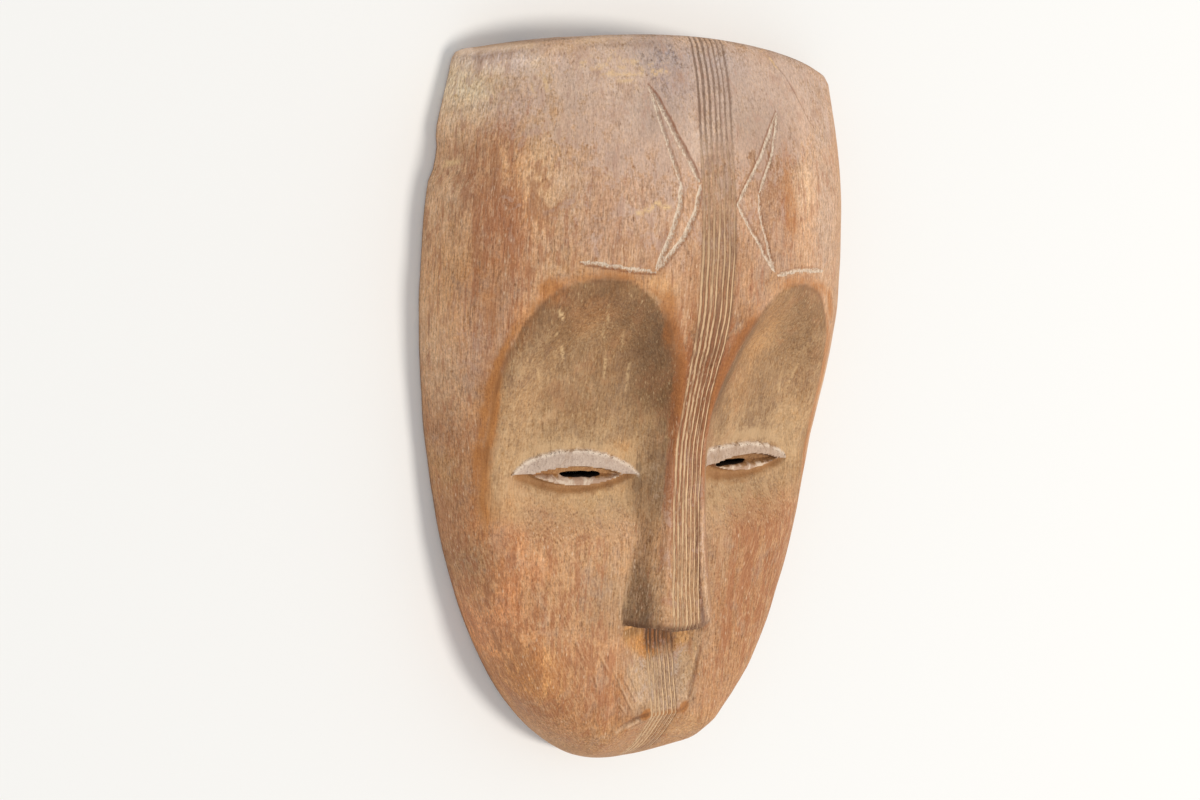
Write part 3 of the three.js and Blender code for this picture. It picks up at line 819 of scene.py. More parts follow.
def lay(colour, other, weight):
    return colour * (1 - weight[:, None]) + other[None, :] * weight[:, None]


WOOD = srgb(200, 158, 124)
tone = np.repeat(WOOD[None, :], n_v, 0)
PATCHES = [
    # centre x, y, radius x, y, turn, colour, strength, softness
    (0, 135, 80, 55, 0, (190, 150, 124), 0.8, 1.0),       # middle of the forehead
    (-30, 198, 70, 30, 0, (204, 176, 158), 0.9, 0.9),     # dusty top
    (60, 200, 52, 30, 0, (190, 160, 142), 0.9, 0.9),      # dusty top, right
    (-115, 196, 24, 24, 0, (216, 186, 154), 0.9, 1.1),      # beige corner
    (-118, 138, 22, 34, 10, (192, 142, 108), 0.8, 1.2),
    (-116, 116, 24, 36, 0, (192, 136, 100), 0.7, 1.2),    # red stain on the left forehead
    (-122, 56, 15, 34, 0, (180, 144, 120), 0.85, 0.8),    # greyer temple
    (-135, 104, 9, 76, 0, (212, 172, 138), 0.85, 1.0),     # left side, upper
    (-124, -48, 20, 66, 6, (172, 122, 86), 0.9, 0.9),     # left side, lower
    (-94, -112, 30, 52, -20, (222, 152, 104), 0.9, 1.0),   # orange left cheek
    (-62, -164, 44, 36, -30, (182, 128, 86), 0.9, 1.0),
    (-58, -84, 32, 46, 0, (192, 148, 110), 0.85, 0.9),    # paler cheek under the eye
    (-52, -128, 22, 28, -10, (198, 148, 108), 0.7, 0.9),
    (62, -92, 44, 62, 14, (170, 122, 84), 0.9, 0.9),      # right cheek
    (46, -158, 36, 30, 30, (178, 130, 92), 0.8, 0.9),
    (36, -62, 11, 44, 0, (180, 140, 106), 0.7, 0.9),      # right of the nose
    (122, 120, 22, 90, 0, (188, 150, 122), 0.8, 0.9),     # right edge
    (108, -60, 26, 70, 20, (174, 128, 92), 0.7, 0.9),
    (0, -198, 50, 24, 0, (178, 130, 88), 0.8, 0.9),       # chin
    (0, -50, 20, 70, 0, (176, 132, 100), 0.95, 0.5),      # front of the nose
    (-4, -92, 20, 24, 0, (184, 142, 106), 0.8, 0.8),
    (2, 34, 21, 46, 0, (134, 88, 50), 0.95, 0.9),         # bridge
    (-8, -14, 6, 44, 0, (150, 98, 64), 0.7, 0.9),
    (0, 96, 26, 30, 0, (178, 132, 96), 0.7, 0.9),
    (0, -148, 26, 26, 0, (188, 154, 124), 0.95, 0.5),     # upper lip
    (-15, -152, 11, 16, 0, (200, 166, 134), 0.6, 0.9),
    (51, 143, 8, 34, 0, (192, 142, 106), 0.5, 1.2),      # red streaks right of the chevron
    (70, 150, 9, 40, 0, (220, 176, 142), 0.7, 1.1),
    (-30, 150, 16, 40, 0, (206, 164, 134), 0.5, 1.2),
    (-60, 150, 34, 34, 0, (196, 160, 138), 0.6, 1.0),
    (-14, 168, 8, 12, 0, (214, 186, 168), 0.6, 1.0),
    (-78, 118, 20, 16, 0, (184, 140, 112), 0.6, 1.0),
]
for k, (cx, cy, rx, ry, turn, col, strength, soft) in enumerate(PATCHES):
    tone = lay(tone, srgb(*col), strength * blob(cx, cy, rx, ry, turn, soft, 0.45, 100 + k))
tone = tone * np.array([1.09, 1.06, 0.97])
tone = lay(tone, srgb(202, 170, 146), 0.7 * blob(90, 140, 15, 50, 0, 1.1, 0.4, 411))

# sockets: khaki floor, with painted shade darkening the top under the brow, less on the right, and the inner side by
# the nose
e_s, _ = socket_e(X, Y)
slope_x = (socket_e(X + 0.5, Y)[0] - socket_e(X - 0.5, Y)[0])
slope_y = (socket_e(X, Y + 0.5)[0] - socket_e(X, Y - 0.5)[0])
edge = (e_s - 1) / np.maximum(np.hypot(slope_x, slope_y), 0.004)  # mm outside the socket's edge
edge_r = edge + 1.5 * fbm(X / 8, Y / 14, 7, 3)
e_r = e_s + 0.020 * fbm(X / 7, Y / 10, 7, 3)
nose_gap = AX - nose_half(X, Y)
in_socket = step(1.015, 0.985, e_r) * step(-58, -36, Y + 9 * fbm(X / 16, Y / 16, 8, 2)) * step(1.5, 4.0, nose_gap)
floor_col = np.repeat(srgb(168, 130, 92)[None, :], n_v, 0)
# painted shade at the socket's top, under the brow
socket_top_shade = (1 - 0.45 * (X > 0)) * step(0.50, 0.98, e_s + 0.16 * fbm(X / 13, Y / 15, 9, 3)) * step(8, 50, Y)
floor_col = lay(floor_col, srgb(142, 104, 70), socket_top_shade)
# painted shade on the socket's inner side, by the nose
floor_col = lay(floor_col, srgb(126, 92, 62), 0.85 * step(44, 22, AX + 6 * fbm(X / 9, Y / 20, 10, 2)) * step(-2, 22, Y))
floor_col = lay(floor_col, srgb(184, 142, 100), step(72, 96, AX + 5 * fbm(X / 9, Y / 14, 77, 2)) * step(66, 20, Y) * 0.75)
cream = np.exp(-(((AX - 60) / 44) ** 4 + ((Y + 14) / 25) ** 4))
floor_col = lay(floor_col, srgb(190, 152, 110), clamp(cream * (0.58 + 0.4 * fbm(X / 9, Y / 9, 11, 3))))
floor_col = floor_col * (0.96 - 0.05 * step(60, 80, AX) * step(10, -10, Y) * step(-30, -5, Y))[:, None]
tone = tone * (1 - in_socket[:, None]) + floor_col * in_socket[:, None]
side_of_nose = step(0.5, 4.0, nose_gap) * step(19, 12, nose_gap) * step(20, -10, Y) * (Y > -119)
tone = lay(tone, srgb(188, 148, 108), 0.80 * side_of_nose * (X < 0))
# painted shade down the left side of the nose, the side turned from the light, darker low down towards its front
side_mid = np.interp(Y, (-115, -100, -74, -38, -14), (-26.6, -25.6, -23.6, -17.8, -16.2)) + 0.7 * fbm(X / 6, Y / 16, 403, 2)
side_half = np.interp(Y, (-115, -100, -74, -38, -14), (5.6, 5.4, 4.0, 3.4, 3.0))
nose_side_shade = np.exp(-(((X - side_mid) / side_half) ** 4)) * step(-118, -113, Y) * step(-4, -26, Y)
tone = lay(tone, srgb(128, 96, 66), 0.72 * nose_side_shade * mix(0.72, 1.0, step(-70, -96, Y)))
tone = lay(tone, srgb(104, 76, 50), 0.45 * step(-74, -96, Y) * nose_side_shade * step(-1.5, 3.0, X - side_mid))
right_line = np.exp(-(((X - np.interp(Y, (-112, -72, -40), (11.6, 8.6, 8.0))) / 1.7) ** 2)) * step(-113, -108, Y) * step(-30, -52, Y)
tone = lay(tone, srgb(114, 70, 42), 0.92 * right_line)
right_edge = np.exp(-(((X - np.interp(Y, (-112, -72, -40), (15.8, 12.6, 11.4))) / 1.5) ** 2)) * step(-113, -108, Y) * step(-30, -52, Y)
tone = lay(tone, srgb(222, 184, 150), 0.60 * right_edge)
tone = lay(tone, srgb(160, 122, 92), 0.60 * side_of_nose * (X > 0))

# an orange-brown stain along the socket's edge, down the temples, under the nose and at the mouth
down = step(-46, -6, Y) * (AX > 8)
up_in = step(50, 34, AX) * step(4, 24, Y) * step(86, 64, Y)
low_in = step(44, 30, AX) * step(30, 6, Y)
outer = step(84, 98, AX) * step(88, 60, Y)
uneven = step(-0.35, 0.5, fbm(X / 9, Y / 15, 12, 3))
haze = step(-2.0, 1.5, edge_r) * np.exp(-clamp(edge_r, 0, 99) / 6.5) * down
brown = np.exp(-(((edge_r + 0.8) / 1.3) ** 2)) * down * (0.25 + 0.75 * uneven) * (1 - 0.8 * low_in)
crisp = np.exp(-(((edge + 0.6 + 0.5 * fbm(X / 5, Y / 5, 415, 2)) / 0.8) ** 2)) * step(24, 44, Y) * step(-34, -50, X) * (0.3 + 0.7 * uneven)
brown = np.maximum(brown, 0.85 * crisp)
ring = haze * (0.34 + 0.40 * uneven) * (1 - 0.6 * low_in)
ring = np.maximum(ring, 0.95 * up_in * np.exp(-(((edge_r - 1.6) / 4.2) ** 2)) * down * (0.78 + 0.22 * uneven))
ring = np.maximum(ring, 0.88 * outer * np.exp(-(((edge_r - 2.0) / 2.6) ** 2)) * down * (0.7 + 0.3 * uneven))
temple = np.exp(-(((AX - 111 - 2.5 * (X < 0) - 2.5 * fbm(Y / 18, X * 0, 13, 2)) / 3.6) ** 2)) * step(-66, -30, Y) * step(56, 20, Y)
orange = np.maximum(ring, 0.95 * temple * (0.6 + 0.4 * fbm(X / 5, Y / 12, 14, 2)))
line_at = -113.2 + 1.4 * fbm(Y / 16, X * 0, 416, 2) + 3.0 * step(-34, -54, Y)
orange = np.maximum(orange, 0.98 * np.exp(-(((X - line_at) / 2.6) ** 2)) * step(-64, -44, Y) * step(48, 30, Y) * (0.84 + 0.20 * fbm(X / 4, Y / 9, 417, 2)))
for cx, cy, rx, ry, turn, amount in ((-95, 87, 8, 4.5, 40, 0.62), (-80, 92.5, 8, 2.4, 16, 0.55), (-30, 80, 4.5, 8, 20, 0.65), (-27, 68, 3.6, 12, 8, 0.70), (-113, 42, 3.4, 14, -8, 0.45), (-114, -30, 4, 20, 4, 0.45), (-119, 70, 4, 14, 10, 0.35), (56, 92, 9, 4, 10, 0.45), (88, 88, 9, 4, -30, 0.60), (104, 74, 4, 12, 25, 0.60), (111, 40, 3, 26, 8, 0.60), (24, 62, 4, 16, -12, 0.40)):
    orange = np.maximum(orange, amount * blob(cx, cy, rx, ry, turn, 1.1, 0.5, int(300 + cx + 7 * cy)))
orange = np.maximum(orange, 0.30 * np.exp(-(((nose_gap - 0.5) / 3.0) ** 2)) * step(-75, -10, Y) * step(100, 60, Y))
orange = np.maximum(orange, 0.42 * blob(51, 146, 3.4, 24, 0, 1.0, 0.7, 19))
orange = np.maximum(orange, 0.40 * blob(56, 130, 2.6, 14, 0, 1.0, 0.7, 119))
orange = np.maximum(orange, 0.16 * blob(81, 150, 3.4, 16, 0, 1.0, 0.7, 20))
orange = np.maximum(orange, 0.85 * blob(-12.5, -170.4, 4.6, 3.2, 32, 0.7, 0.6, 16))
orange = np.maximum(orange, 0.80 * blob(14.2, -169.2, 4.6, 3.2, 44, 0.7, 0.6, 17))
orange = np.maximum(orange, 0.55 * blob(0, -171.6, 12, 1.9, 0, 0.8, 0.4, 116))
ragged_y = Y + 1.6 * fbm(X / 5, Y / 5, 15, 3)
ochre_low = np.interp(X, (-32, -27, -9, 9, 16, 24), (-121, -127, -139, -137, -136, -126))
ochre = 0.92 * step(-2.5, 2.5, ragged_y - ochre_low) * step(-33, -27, X + 1.2 * fbm(X / 4, Y / 4, 21, 2)) * step(27, 16, X) * (0.55 + 0.45 * step(3, -6, X)) * step(-114, -117, Y)
tone = lay(tone, srgb(222, 162, 98), ochre)
tone = lay(tone, srgb(158, 118, 70), 0.70 * step(-137, -129, Y) * (Y < -117) * step(13, 11, np.abs(X - 0.5)))
# painted shade just under the nose's lower edge
tone = tone * (1 - 0.50 * step(-127.5, -120.0, Y) * step(34, 26, AX) * (Y < -117))[:, None]
tone = tone * (1 - np.array([0.22, 0.36, 0.48]) * (step(-138, -130, Y) * (Y < -117) * step(13, 9, AX))[:, None])
tone = tone * (1 - 0.04 * in_socket * (X > 0) * step(70, 20, Y))[:, None]
# places a little lighter or darker than the patches above leave them
SHADES = [
    (-122, 56, 11, 34, (1.12, 1.04, 0.98)),
    (-122, 88, 8, 13, (0.96, 0.86, 0.72)),
    (-94, 126, 13, 40, (1.12, 1.20, 1.22)),
    (-25, 205, 17, 20, (0.72, 0.74, 0.84)),
    (-28, -22, 6, 20, (1.14, 1.10, 1.02)),
    (-20, -62, 5, 22, (1.26, 1.20, 1.15)),
    (48, 62, 16, 24, (1.42, 1.34, 1.22)),
    (94, -12, 11, 30, (1.26, 1.28, 1.28)),
    (63, -8, 20, 15, (0.78, 0.75, 0.75)),
    (-130, 181, 9, 15, (1.34, 1.52, 1.68)),
    (34, 168, 25, 24, (0.80, 0.76, 0.72)),
    (-4, 50, 10, 28, (0.82, 0.70, 0.56)),
    (-113, 208, 14, 9, (1.12, 1.20, 1.42)),
    (-82, -138, 16, 20, (1.28, 1.32, 1.20)),
    (-43, -101, 13, 21, (0.78, 0.80, 0.82)),
    (-48, -40, 18, 8, (1.25, 1.32, 1.32)),
    (-105, 190, 10, 12, (0.83, 0.79, 0.90)),
    (12, 211, 13, 10, (0.78, 0.83, 0.94)),
    (-133, 85, 8, 30, (0.96, 0.86, 0.74)),
    (-2, -130, 13, 11, (0.88, 0.78, 0.62)),
    (-4, 38, 13, 34, (0.78, 0.70, 0.59)),
    (6, 78, 16, 13, (0.95, 0.87, 0.76)),
    (-3, 6, 11, 20, (0.82, 0.80, 0.73)),
    (62, 146, 11, 16, (1.08, 1.18, 1.26)),
    (-108, 148, 10, 14, (1.14, 1.24, 1.26)),
    (-35, 183, 13, 11, (0.68, 0.68, 0.69)),
    (22, 180, 10, 10, (0.80, 0.78, 0.75)),
    (-58, 92, 24, 8, (0.95, 0.86, 0.70)),
    (42, 92, 10, 8, (0.93, 0.86, 0.70)),
    (-117, 19, 7, 16, (0.90, 0.82, 0.72)),
    (-106, -58, 12, 24, (1.22, 1.09, 0.94)),
    (-91, 83, 9, 8, (1.34, 1.06, 0.84)),
    (-16, -170, 7, 6, (0.72, 0.64, 0.56)),
    (-32, 215, 20, 8, (0.78, 0.84, 0.94)),
    (-19, -4, 4, 11, (0.80, 0.76, 0.74)),
    (23, -187, 11, 10, (1.22, 1.32, 1.38)),
    (-40, -33, 9, 6, (1.32, 1.30, 1.22)),
    (-122, 208, 9, 8, (1.16, 1.22, 1.38)),
    (-90, -122, 12, 12, (0.88, 0.90, 0.95)),
    (38, 152, 12, 38, (0.87, 0.83, 0.79)),
    (5, 217, 18, 7, (1.00, 1.10, 1.26)),
    (-102, 209, 18, 8, (1.06, 1.10, 1.26)),
    (-102, 132, 9, 16, (1.24, 1.28, 1.26)),
    (-46, 48, 12, 16, (0.92, 0.86, 0.80)),
    (-33, 89, 8, 9, (1.28, 1.34, 1.24)),
    (-37, -10, 8, 7, (1.26, 1.18, 1.08)),
    (-112, -88, 10, 24, (0.80, 0.90, 0.94)),
    (42, 23, 10, 14, (1.28, 1.24, 1.18)),
    (-109, -16, 7, 14, (1.22, 1.26, 1.28)),
    (-72, -39, 20, 6, (1.26, 1.22, 1.18)),
    (-22, 202, 10, 8, (0.82, 0.83, 0.90)),
    (96, 38, 8, 14, (0.88, 0.82, 0.78)),
    (-129, -30, 7, 16, (1.14, 1.24, 1.18)),
    (-24, 24, 6, 18, (1.16, 1.16, 1.10)),
    (-68, 73, 15, 10, (1.18, 1.06, 0.94)),
    (17, -141, 8, 16, (1.04, 1.00, 0.86)),
    (-83, 54, 10, 14, (0.84, 0.80, 0.74)),
    (-57, 11, 19, 8, (0.89, 0.84, 0.78)),
    (31, -50, 9, 9, (1.14, 1.20, 1.22)),
    (-107, 68, 6, 12, (1.22, 1.06, 0.90)),
    (90, 4, 6, 12, (1.14, 1.18, 1.22)),
    (62, -47, 14, 6, (1.08, 1.16, 1.18)),
    (-117, 151, 8, 10, (1.16, 1.24, 1.24)),
    (-76, -150, 10, 18, (1.18, 1.15, 1.05)),
    (1, 197, 13, 10, (0.86, 0.85, 0.87)),
    (-111, 177, 9, 9, (0.88, 0.84, 0.96)),
]
for k, (cx, cy, rx, ry, gain) in enumerate(SHADES):
    tone = tone * (1 + (np.array(gain) - 1) * blob(cx, cy, rx, ry, 0, 1.2, 0.35, 500 + k)[:, None])

_, lids, opening, lower, shade, rim = eye_shape(X, Y)
at_eye = ((np.abs(AX - LID_X) < LID_HALF + 2) & front) * 1.0
lids, opening, lower, shade, rim = (v * at_eye for v in (lids, opening, lower, shade, rim))
# painted shade on the steep underside of the nose
slope = np.where((np.abs(Y + 115) < 9) & (AX < 34), (face_height(X, Y + 0.5) - face_height(X, Y - 0.5)), 0)
under_nose_shade = step(1.0, 2.6, slope) * front
# dirt and painted shade along the nose's lower edge
nose_edge_dirt_and_shade = np.exp(-(((Y - (NOSE_TIP_Y + 1.0 - nose_bow(AX))) / 2.9) ** 2)) * (AX < 31) * front

tone = np.where(inside[:, None], srgb(140, 104, 76)[None, :], tone)
tone = np.where(under[:, None], srgb(150, 114, 84)[None, :], tone)
end_face = (Y > TOP_Y - TOP_ARCH * step(120, TOP_Y, Y) * (X / W) ** 2 - 1.8) & (Z < surface * 0.97 - 1) & front
tone = np.where(end_face[:, None], srgb(168, 132, 104)[None, :], tone)
# painted shade under the nose
tone = lay(tone, srgb(84, 54, 36), 0.85 * under_nose_shade)
# painted shade on the slits' walls
tone = lay(tone, srgb(50, 34, 24), slit_wall * 0.95)

s_band = groove_coord(X, Y)
w_band = np.where(front & ~end_face, groove_weight(X, Y), 0)
pale = step(145, 90, Y + 10 * fbm(X / 6, Y / 24, 19, 2)) * (0.80 + 0.20 * step(40, -20, Y)) + 0.22 * step(175, 160, Y) * step(85, 150, Y)
strength = 1 - 0.36 * step(188, 160, Y + 14 * fbm(X / 3, X * 0, 23, 2)) * step(105, 135, Y) + 0.50 * step(-142, -133, Y) * (Y < NOSE_TIP_Y - 4)
pale = np.where(Y < NOSE_TIP_Y - 4, clamp((-130 - Y) / 14) * (0.85 + 0.15 * step(-176, -170, Y)), pale)
base = step(200, 145, Y + 12 * fbm(X / 3, Y / 40, 24, 2)) * (0.35 + 0.45 * step(30, 60, Y) - 0.24 * step(120, 140, Y)) * (Y > NOSE_TIP_Y - 4) + 0.12 * (Y < NOSE_TIP_Y - 4)
_, chalk, lip, cut_dark, _ = cut_field(X, Y)
scratch = scratch_field(X, Y)
chalk, lip, cut_dark, scratch = (np.where(front, v, 0) for v in (chalk, lip, cut_dark, scratch))

mark_dark, mark_light = (np.where(front, v, 0) for v in mark_field(X, Y))
cut_dark = np.maximum(cut_dark, 0.8 * mark_dark)
# the edge where the forehead turns over into the top end, dark, with a pale line along the arris above it on the left
from_top = TOP_Y - TOP_ARCH * (X / W) ** 2 - Y + 2.4 * noise(X / 21, X * 0, 41)
arris = np.exp(-(((from_top - 6.0) / 1.3) ** 2)) * step(20, -30, X) * front
cut_dark = np.maximum(cut_dark, 0.62 * arris)
beige = (0.85 + 0.35 * noise(X / 2.4, Y / 2.4, 39)) * step(1.2, 0.5, line_field(X, Y + 0.5 * noise(X / 3, Y / 3, 38), [(-31.5, -179.6), (-27.0, -177.0), (-18.5, -174.3)], 1.1)[0]) * front
top_pale_line = np.exp(-(((from_top - 2.6) / 1.6) ** 2)) * step(-40, -70, X) * (Y > 190)
cheek_l, cheek_r = (np.where(front, step(-20, -55, Y) * step(34, 60, v) * (1 - 0.9 * in_socket), 0) for v in (-X, X))
silver = clamp(0.55 * blob(-12, -152, 6, 12, 10, 1.2, 0.6, 401) + 0.60 * blob(14, -150, 5, 10, -8, 1.2, 0.6, 402)) * front
dust = clamp(0.75 * blob(-20, 192, 92, 40, 0, 0.9, 0.3, 20) + 0.45 * blob(60, 200, 50, 30, 0, 0.9, 0.3, 61) + 0.14 * blob(0, -60, 22, 70, 0, 0.8, 0.3, 21) + 0.30 * blob(-30, 140, 70, 40, 0, 1.0, 0.4, 22) + 0.22 * blob(0, -150, 24, 20, 0, 0.8, 0.3, 23) + 0.1 * blob(-124, 56, 12, 30, 0, 0.9, 0.3, 62))
lid_line = EYE_Y + LID_TOP * clamp(1 - ((AX - 60) / 38) ** 2) ** 0.8 + np.where(X > 0, 1.2, 0)
halo = np.exp(-(((Y - lid_line - 2.5) / 3.2) ** 2)) * step(42, 34, np.abs(AX - 60)) * (1 - lids) * front
creamy = clamp(0.74 * halo + 0.28 * cream * in_socket + 0.20 * in_socket * step(66, 95, AX) * step(70, 40, Y) + 0.06 * in_socket + 0.40 * blob(-27.5, -17, 5, 12, 0, 1.0, 0.5, 412) + 0.36 * blob(-60, -46, 36, 12, 0, 0.9, 0.3, 24) + 0.35 * blob(32, -60, 9, 44, 0, 0.9, 0.3, 25) + 0.35 * blob(-34, -90, 8, 30, 0, 1.0, 0.4, 26) + 0.30 * blob(62, -48, 34, 12, 0, 0.9, 0.3, 63))
redness = clamp(0.40 * blob(-114, 116, 22, 40, 0, 1.5, 0.7, 27) + 0.18 * blob(-117, 142, 20, 32, 0, 1.4, 0.7, 69) + 0.34 * blob(-92, -110, 40, 70, -18, 0.9, 0.35, 28) + 0.16 * blob(52, 143, 8, 34, 0, 1.2, 0.6, 29) + 0.45 * blob(70, -90, 40, 60, 0, 1.0, 0.4, 30) + 0.35 * blob(-60, -150, 30, 26, 0, 0.9, 0.4, 64) + 0.65 * blob(0, 30, 20, 56, 0, 0.9, 0.3, 65) + 0.40 * blob(-8, -20, 5, 50, 0, 0.9, 0.3, 405) + 0.45 * np.exp(-(((nose_gap - 1.5) / 4.5) ** 2)) * step(-60, -20, Y) * step(70, 40, Y) + 0.16) * (1 - 0.8 * in_socket)
# grime between the grooves, with painted shade in the creases at the eyes' inner corners, in the sockets' tops and
# inner sides and down the left side of the nose
grime_and_shade = clamp(0.62 * blob(-23.8, -32, 1.6, 22, 0, 0.8, 0.6, 66) + 0.35 * blob(-27, -30, 6, 3, 0, 0.8, 0.4, 67) + 0.3 * blob(23.5, -38, 2.2, 12, 0, 0.8, 0.4, 68) + 0.22 * in_socket * step(46, 24, AX) * step(-2, 22, Y) + 0.22 * side_of_nose * (X < 0) * step(-60, -100, Y) + 0.30 * socket_top_shade * in_socket + 0.20 * base * w_band)


def attribute(name, values):
    a = me.attributes.new(name, "FLOAT", "POINT")
    a.data.foreach_set("value", np.ascontiguousarray(values, dtype=np.float32))


def attribute_colour(name, *values):
    a = me.attributes.new(name, "FLOAT_COLOR", "POINT")
    rgba = np.ones((n_v, 4), np.float32)
    rgba[:, :3] = values[0] if len(values) == 1 else np.stack(values, 1)
    a.data.foreach_set("color", rgba.ravel())


attribute_colour("tone", tone)
attribute_colour("stain", orange, np.where(inside, 1.0, 0.0), grime_and_shade)
attribute_colour("wear", dust, creamy, redness)
attribute_colour("band", w_band, pale, base)
attribute_colour("cuts", chalk, lip, cut_dark)
attribute_colour("lids", lids, rim, lower)
attribute_colour("eyes", opening, shade, scratch)
attribute_colour("nose", nose_edge_dirt_and_shade, strength, in_socket)
attribute_colour("more", cheek_l, cheek_r, silver)
attribute_colour("edges", brown * front, np.maximum(np.maximum(mark_light * 0.8, top_pale_line), beige), np.where(X > 0, 1.0, 0.0))
attribute_colour("extra", slit_shade, clamp(right_line + right_edge), up_in)
attribute("band_s", s_band)


# ------------------------------------------------------------------ the wood
class Nodes:
    def __init__(self, name):
        self.mat = bpy.data.materials.new(name)
        self.mat.use_nodes = True
        self.t = self.mat.node_tree
        self.t.nodes.clear()

    def new(self, kind, **props):
        n = self.t.nodes.new(kind)
        for k, v in props.items():
            setattr(n, k, v)
        return n

    def link(self, a, b):
        self.t.links.new(a, b)

    def put(self, socket, v):
        if isinstance(v, bpy.types.NodeSocket):
            self.link(v, socket)
        else:
            socket.default_value = v

    def math(self, op, a, b=0.0):
        n = self.new("ShaderNodeMath", operation=op)
        self.put(n.inputs[0], a)
        self.put(n.inputs[1], b)
        return n.outputs[0]

    def mul(self, *v):
        out = v[0]
        for w in v[1:]:
            out = self.math("MULTIPLY", out, w)
        return out

    def add(self, *v):
        out = v[0]
        for w in v[1:]:
            out = self.math("ADD", out, w)
        return out

    def ramp(self, v, lo, hi, out_lo=0.0, out_hi=1.0):
        n = self.new("ShaderNodeMapRange", interpolation_type="SMOOTHSTEP", clamp=True)
        for i, x in enumerate((v, lo, hi, out_lo, out_hi)):
            self.put(n.inputs[i], x)
        return n.outputs[0]

    def cover(self, amount, n, soft=0.18):
        """Ragged cover: nothing at amount 0, whole at amount 1, edges along the noise."""
        lo = self.math("SUBTRACT", 1.0 - soft, amount)
        m = self.new("ShaderNodeMapRange", interpolation_type="SMOOTHSTEP", clamp=True)
        self.link(n, m.inputs[0])
        self.link(lo, m.inputs[1])
        self.link(self.math("ADD", lo, 2 * soft), m.inputs[2])
        return self.mul(m.outputs[0], self.ramp(amount, 0.0, 0.15))

    def mixc(self, f, a, b, blend="MIX"):
        n = self.new("ShaderNodeMix", data_type="RGBA", blend_type=blend, clamp_factor=True)
        self.put(n.inputs[0], f)
        self.put(n.inputs[6], a)
        self.put(n.inputs[7], b)
        return n.outputs[2]

    def stretched(self, vec, stretch, offset=(0, 0, 0), turn=0.0):
        """Cells a metre along each axis, the whole pattern turned about Z by so many degrees."""
        m = self.new("ShaderNodeMapping", vector_type="TEXTURE")
        self.link(vec, m.inputs[0])
        cells = stretch if isinstance(stretch, tuple) else (stretch,) * 3
        m.inputs["Scale"].default_value = tuple(1 / v for v in cells)
        m.inputs["Location"].default_value = tuple(-v / c_ for v, c_ in zip(offset, cells))
        m.inputs["Rotation"].default_value = (0, 0, math.radians(turn))
        return m

    def flecks(self, vec, stretch, offset, big, small, share):
        """Scattered short strokes: 1 inside them. The share is how many of the cells have one."""
        m = self.stretched(vec, stretch, offset)
        n = self.new("ShaderNodeTexVoronoi", voronoi_dimensions="3D", feature="F1")
        self.link(m.outputs[0], n.inputs["Vector"])
        n.inputs["Scale"].default_value = 1.0
        c_ = self.new("ShaderNodeSeparateColor", mode="RGB")
        self.link(n.outputs["Color"], c_.inputs[0])
        return self.mul(self.ramp(n.outputs["Distance"], big, small), self.ramp(c_.outputs[0], 1 - share - 0.1, 1 - share + 0.1))

    def noise(self, vec, stretch, detail=2.0, rough=0.5, offset=(0, 0, 0), distort=0.0, lo=0.30, hi=0.70, turn=0.0):
        """Noise spread to fill 0 to 1."""
        m = self.stretched(vec, stretch, offset, turn)
        n = self.new("ShaderNodeTexNoise", noise_dimensions="3D")
        self.link(m.outputs[0], n.inputs["Vector"])
        n.inputs["Scale"].default_value = 1.0
        n.inputs["Detail"].default_value = detail
        n.inputs["Roughness"].default_value = rough
        n.inputs["Distortion"].default_value = distort
        r = self.new("ShaderNodeMapRange", clamp=True)
        self.link(n.outputs[0], r.inputs[0])
        r.inputs[1].default_value, r.inputs[2].default_value = lo, hi
        return r.outputs[0]


def rgb(r, g, b):
    v = srgb(r, g, b)
    return (float(v[0]), float(v[1]), float(v[2]), 1.0)


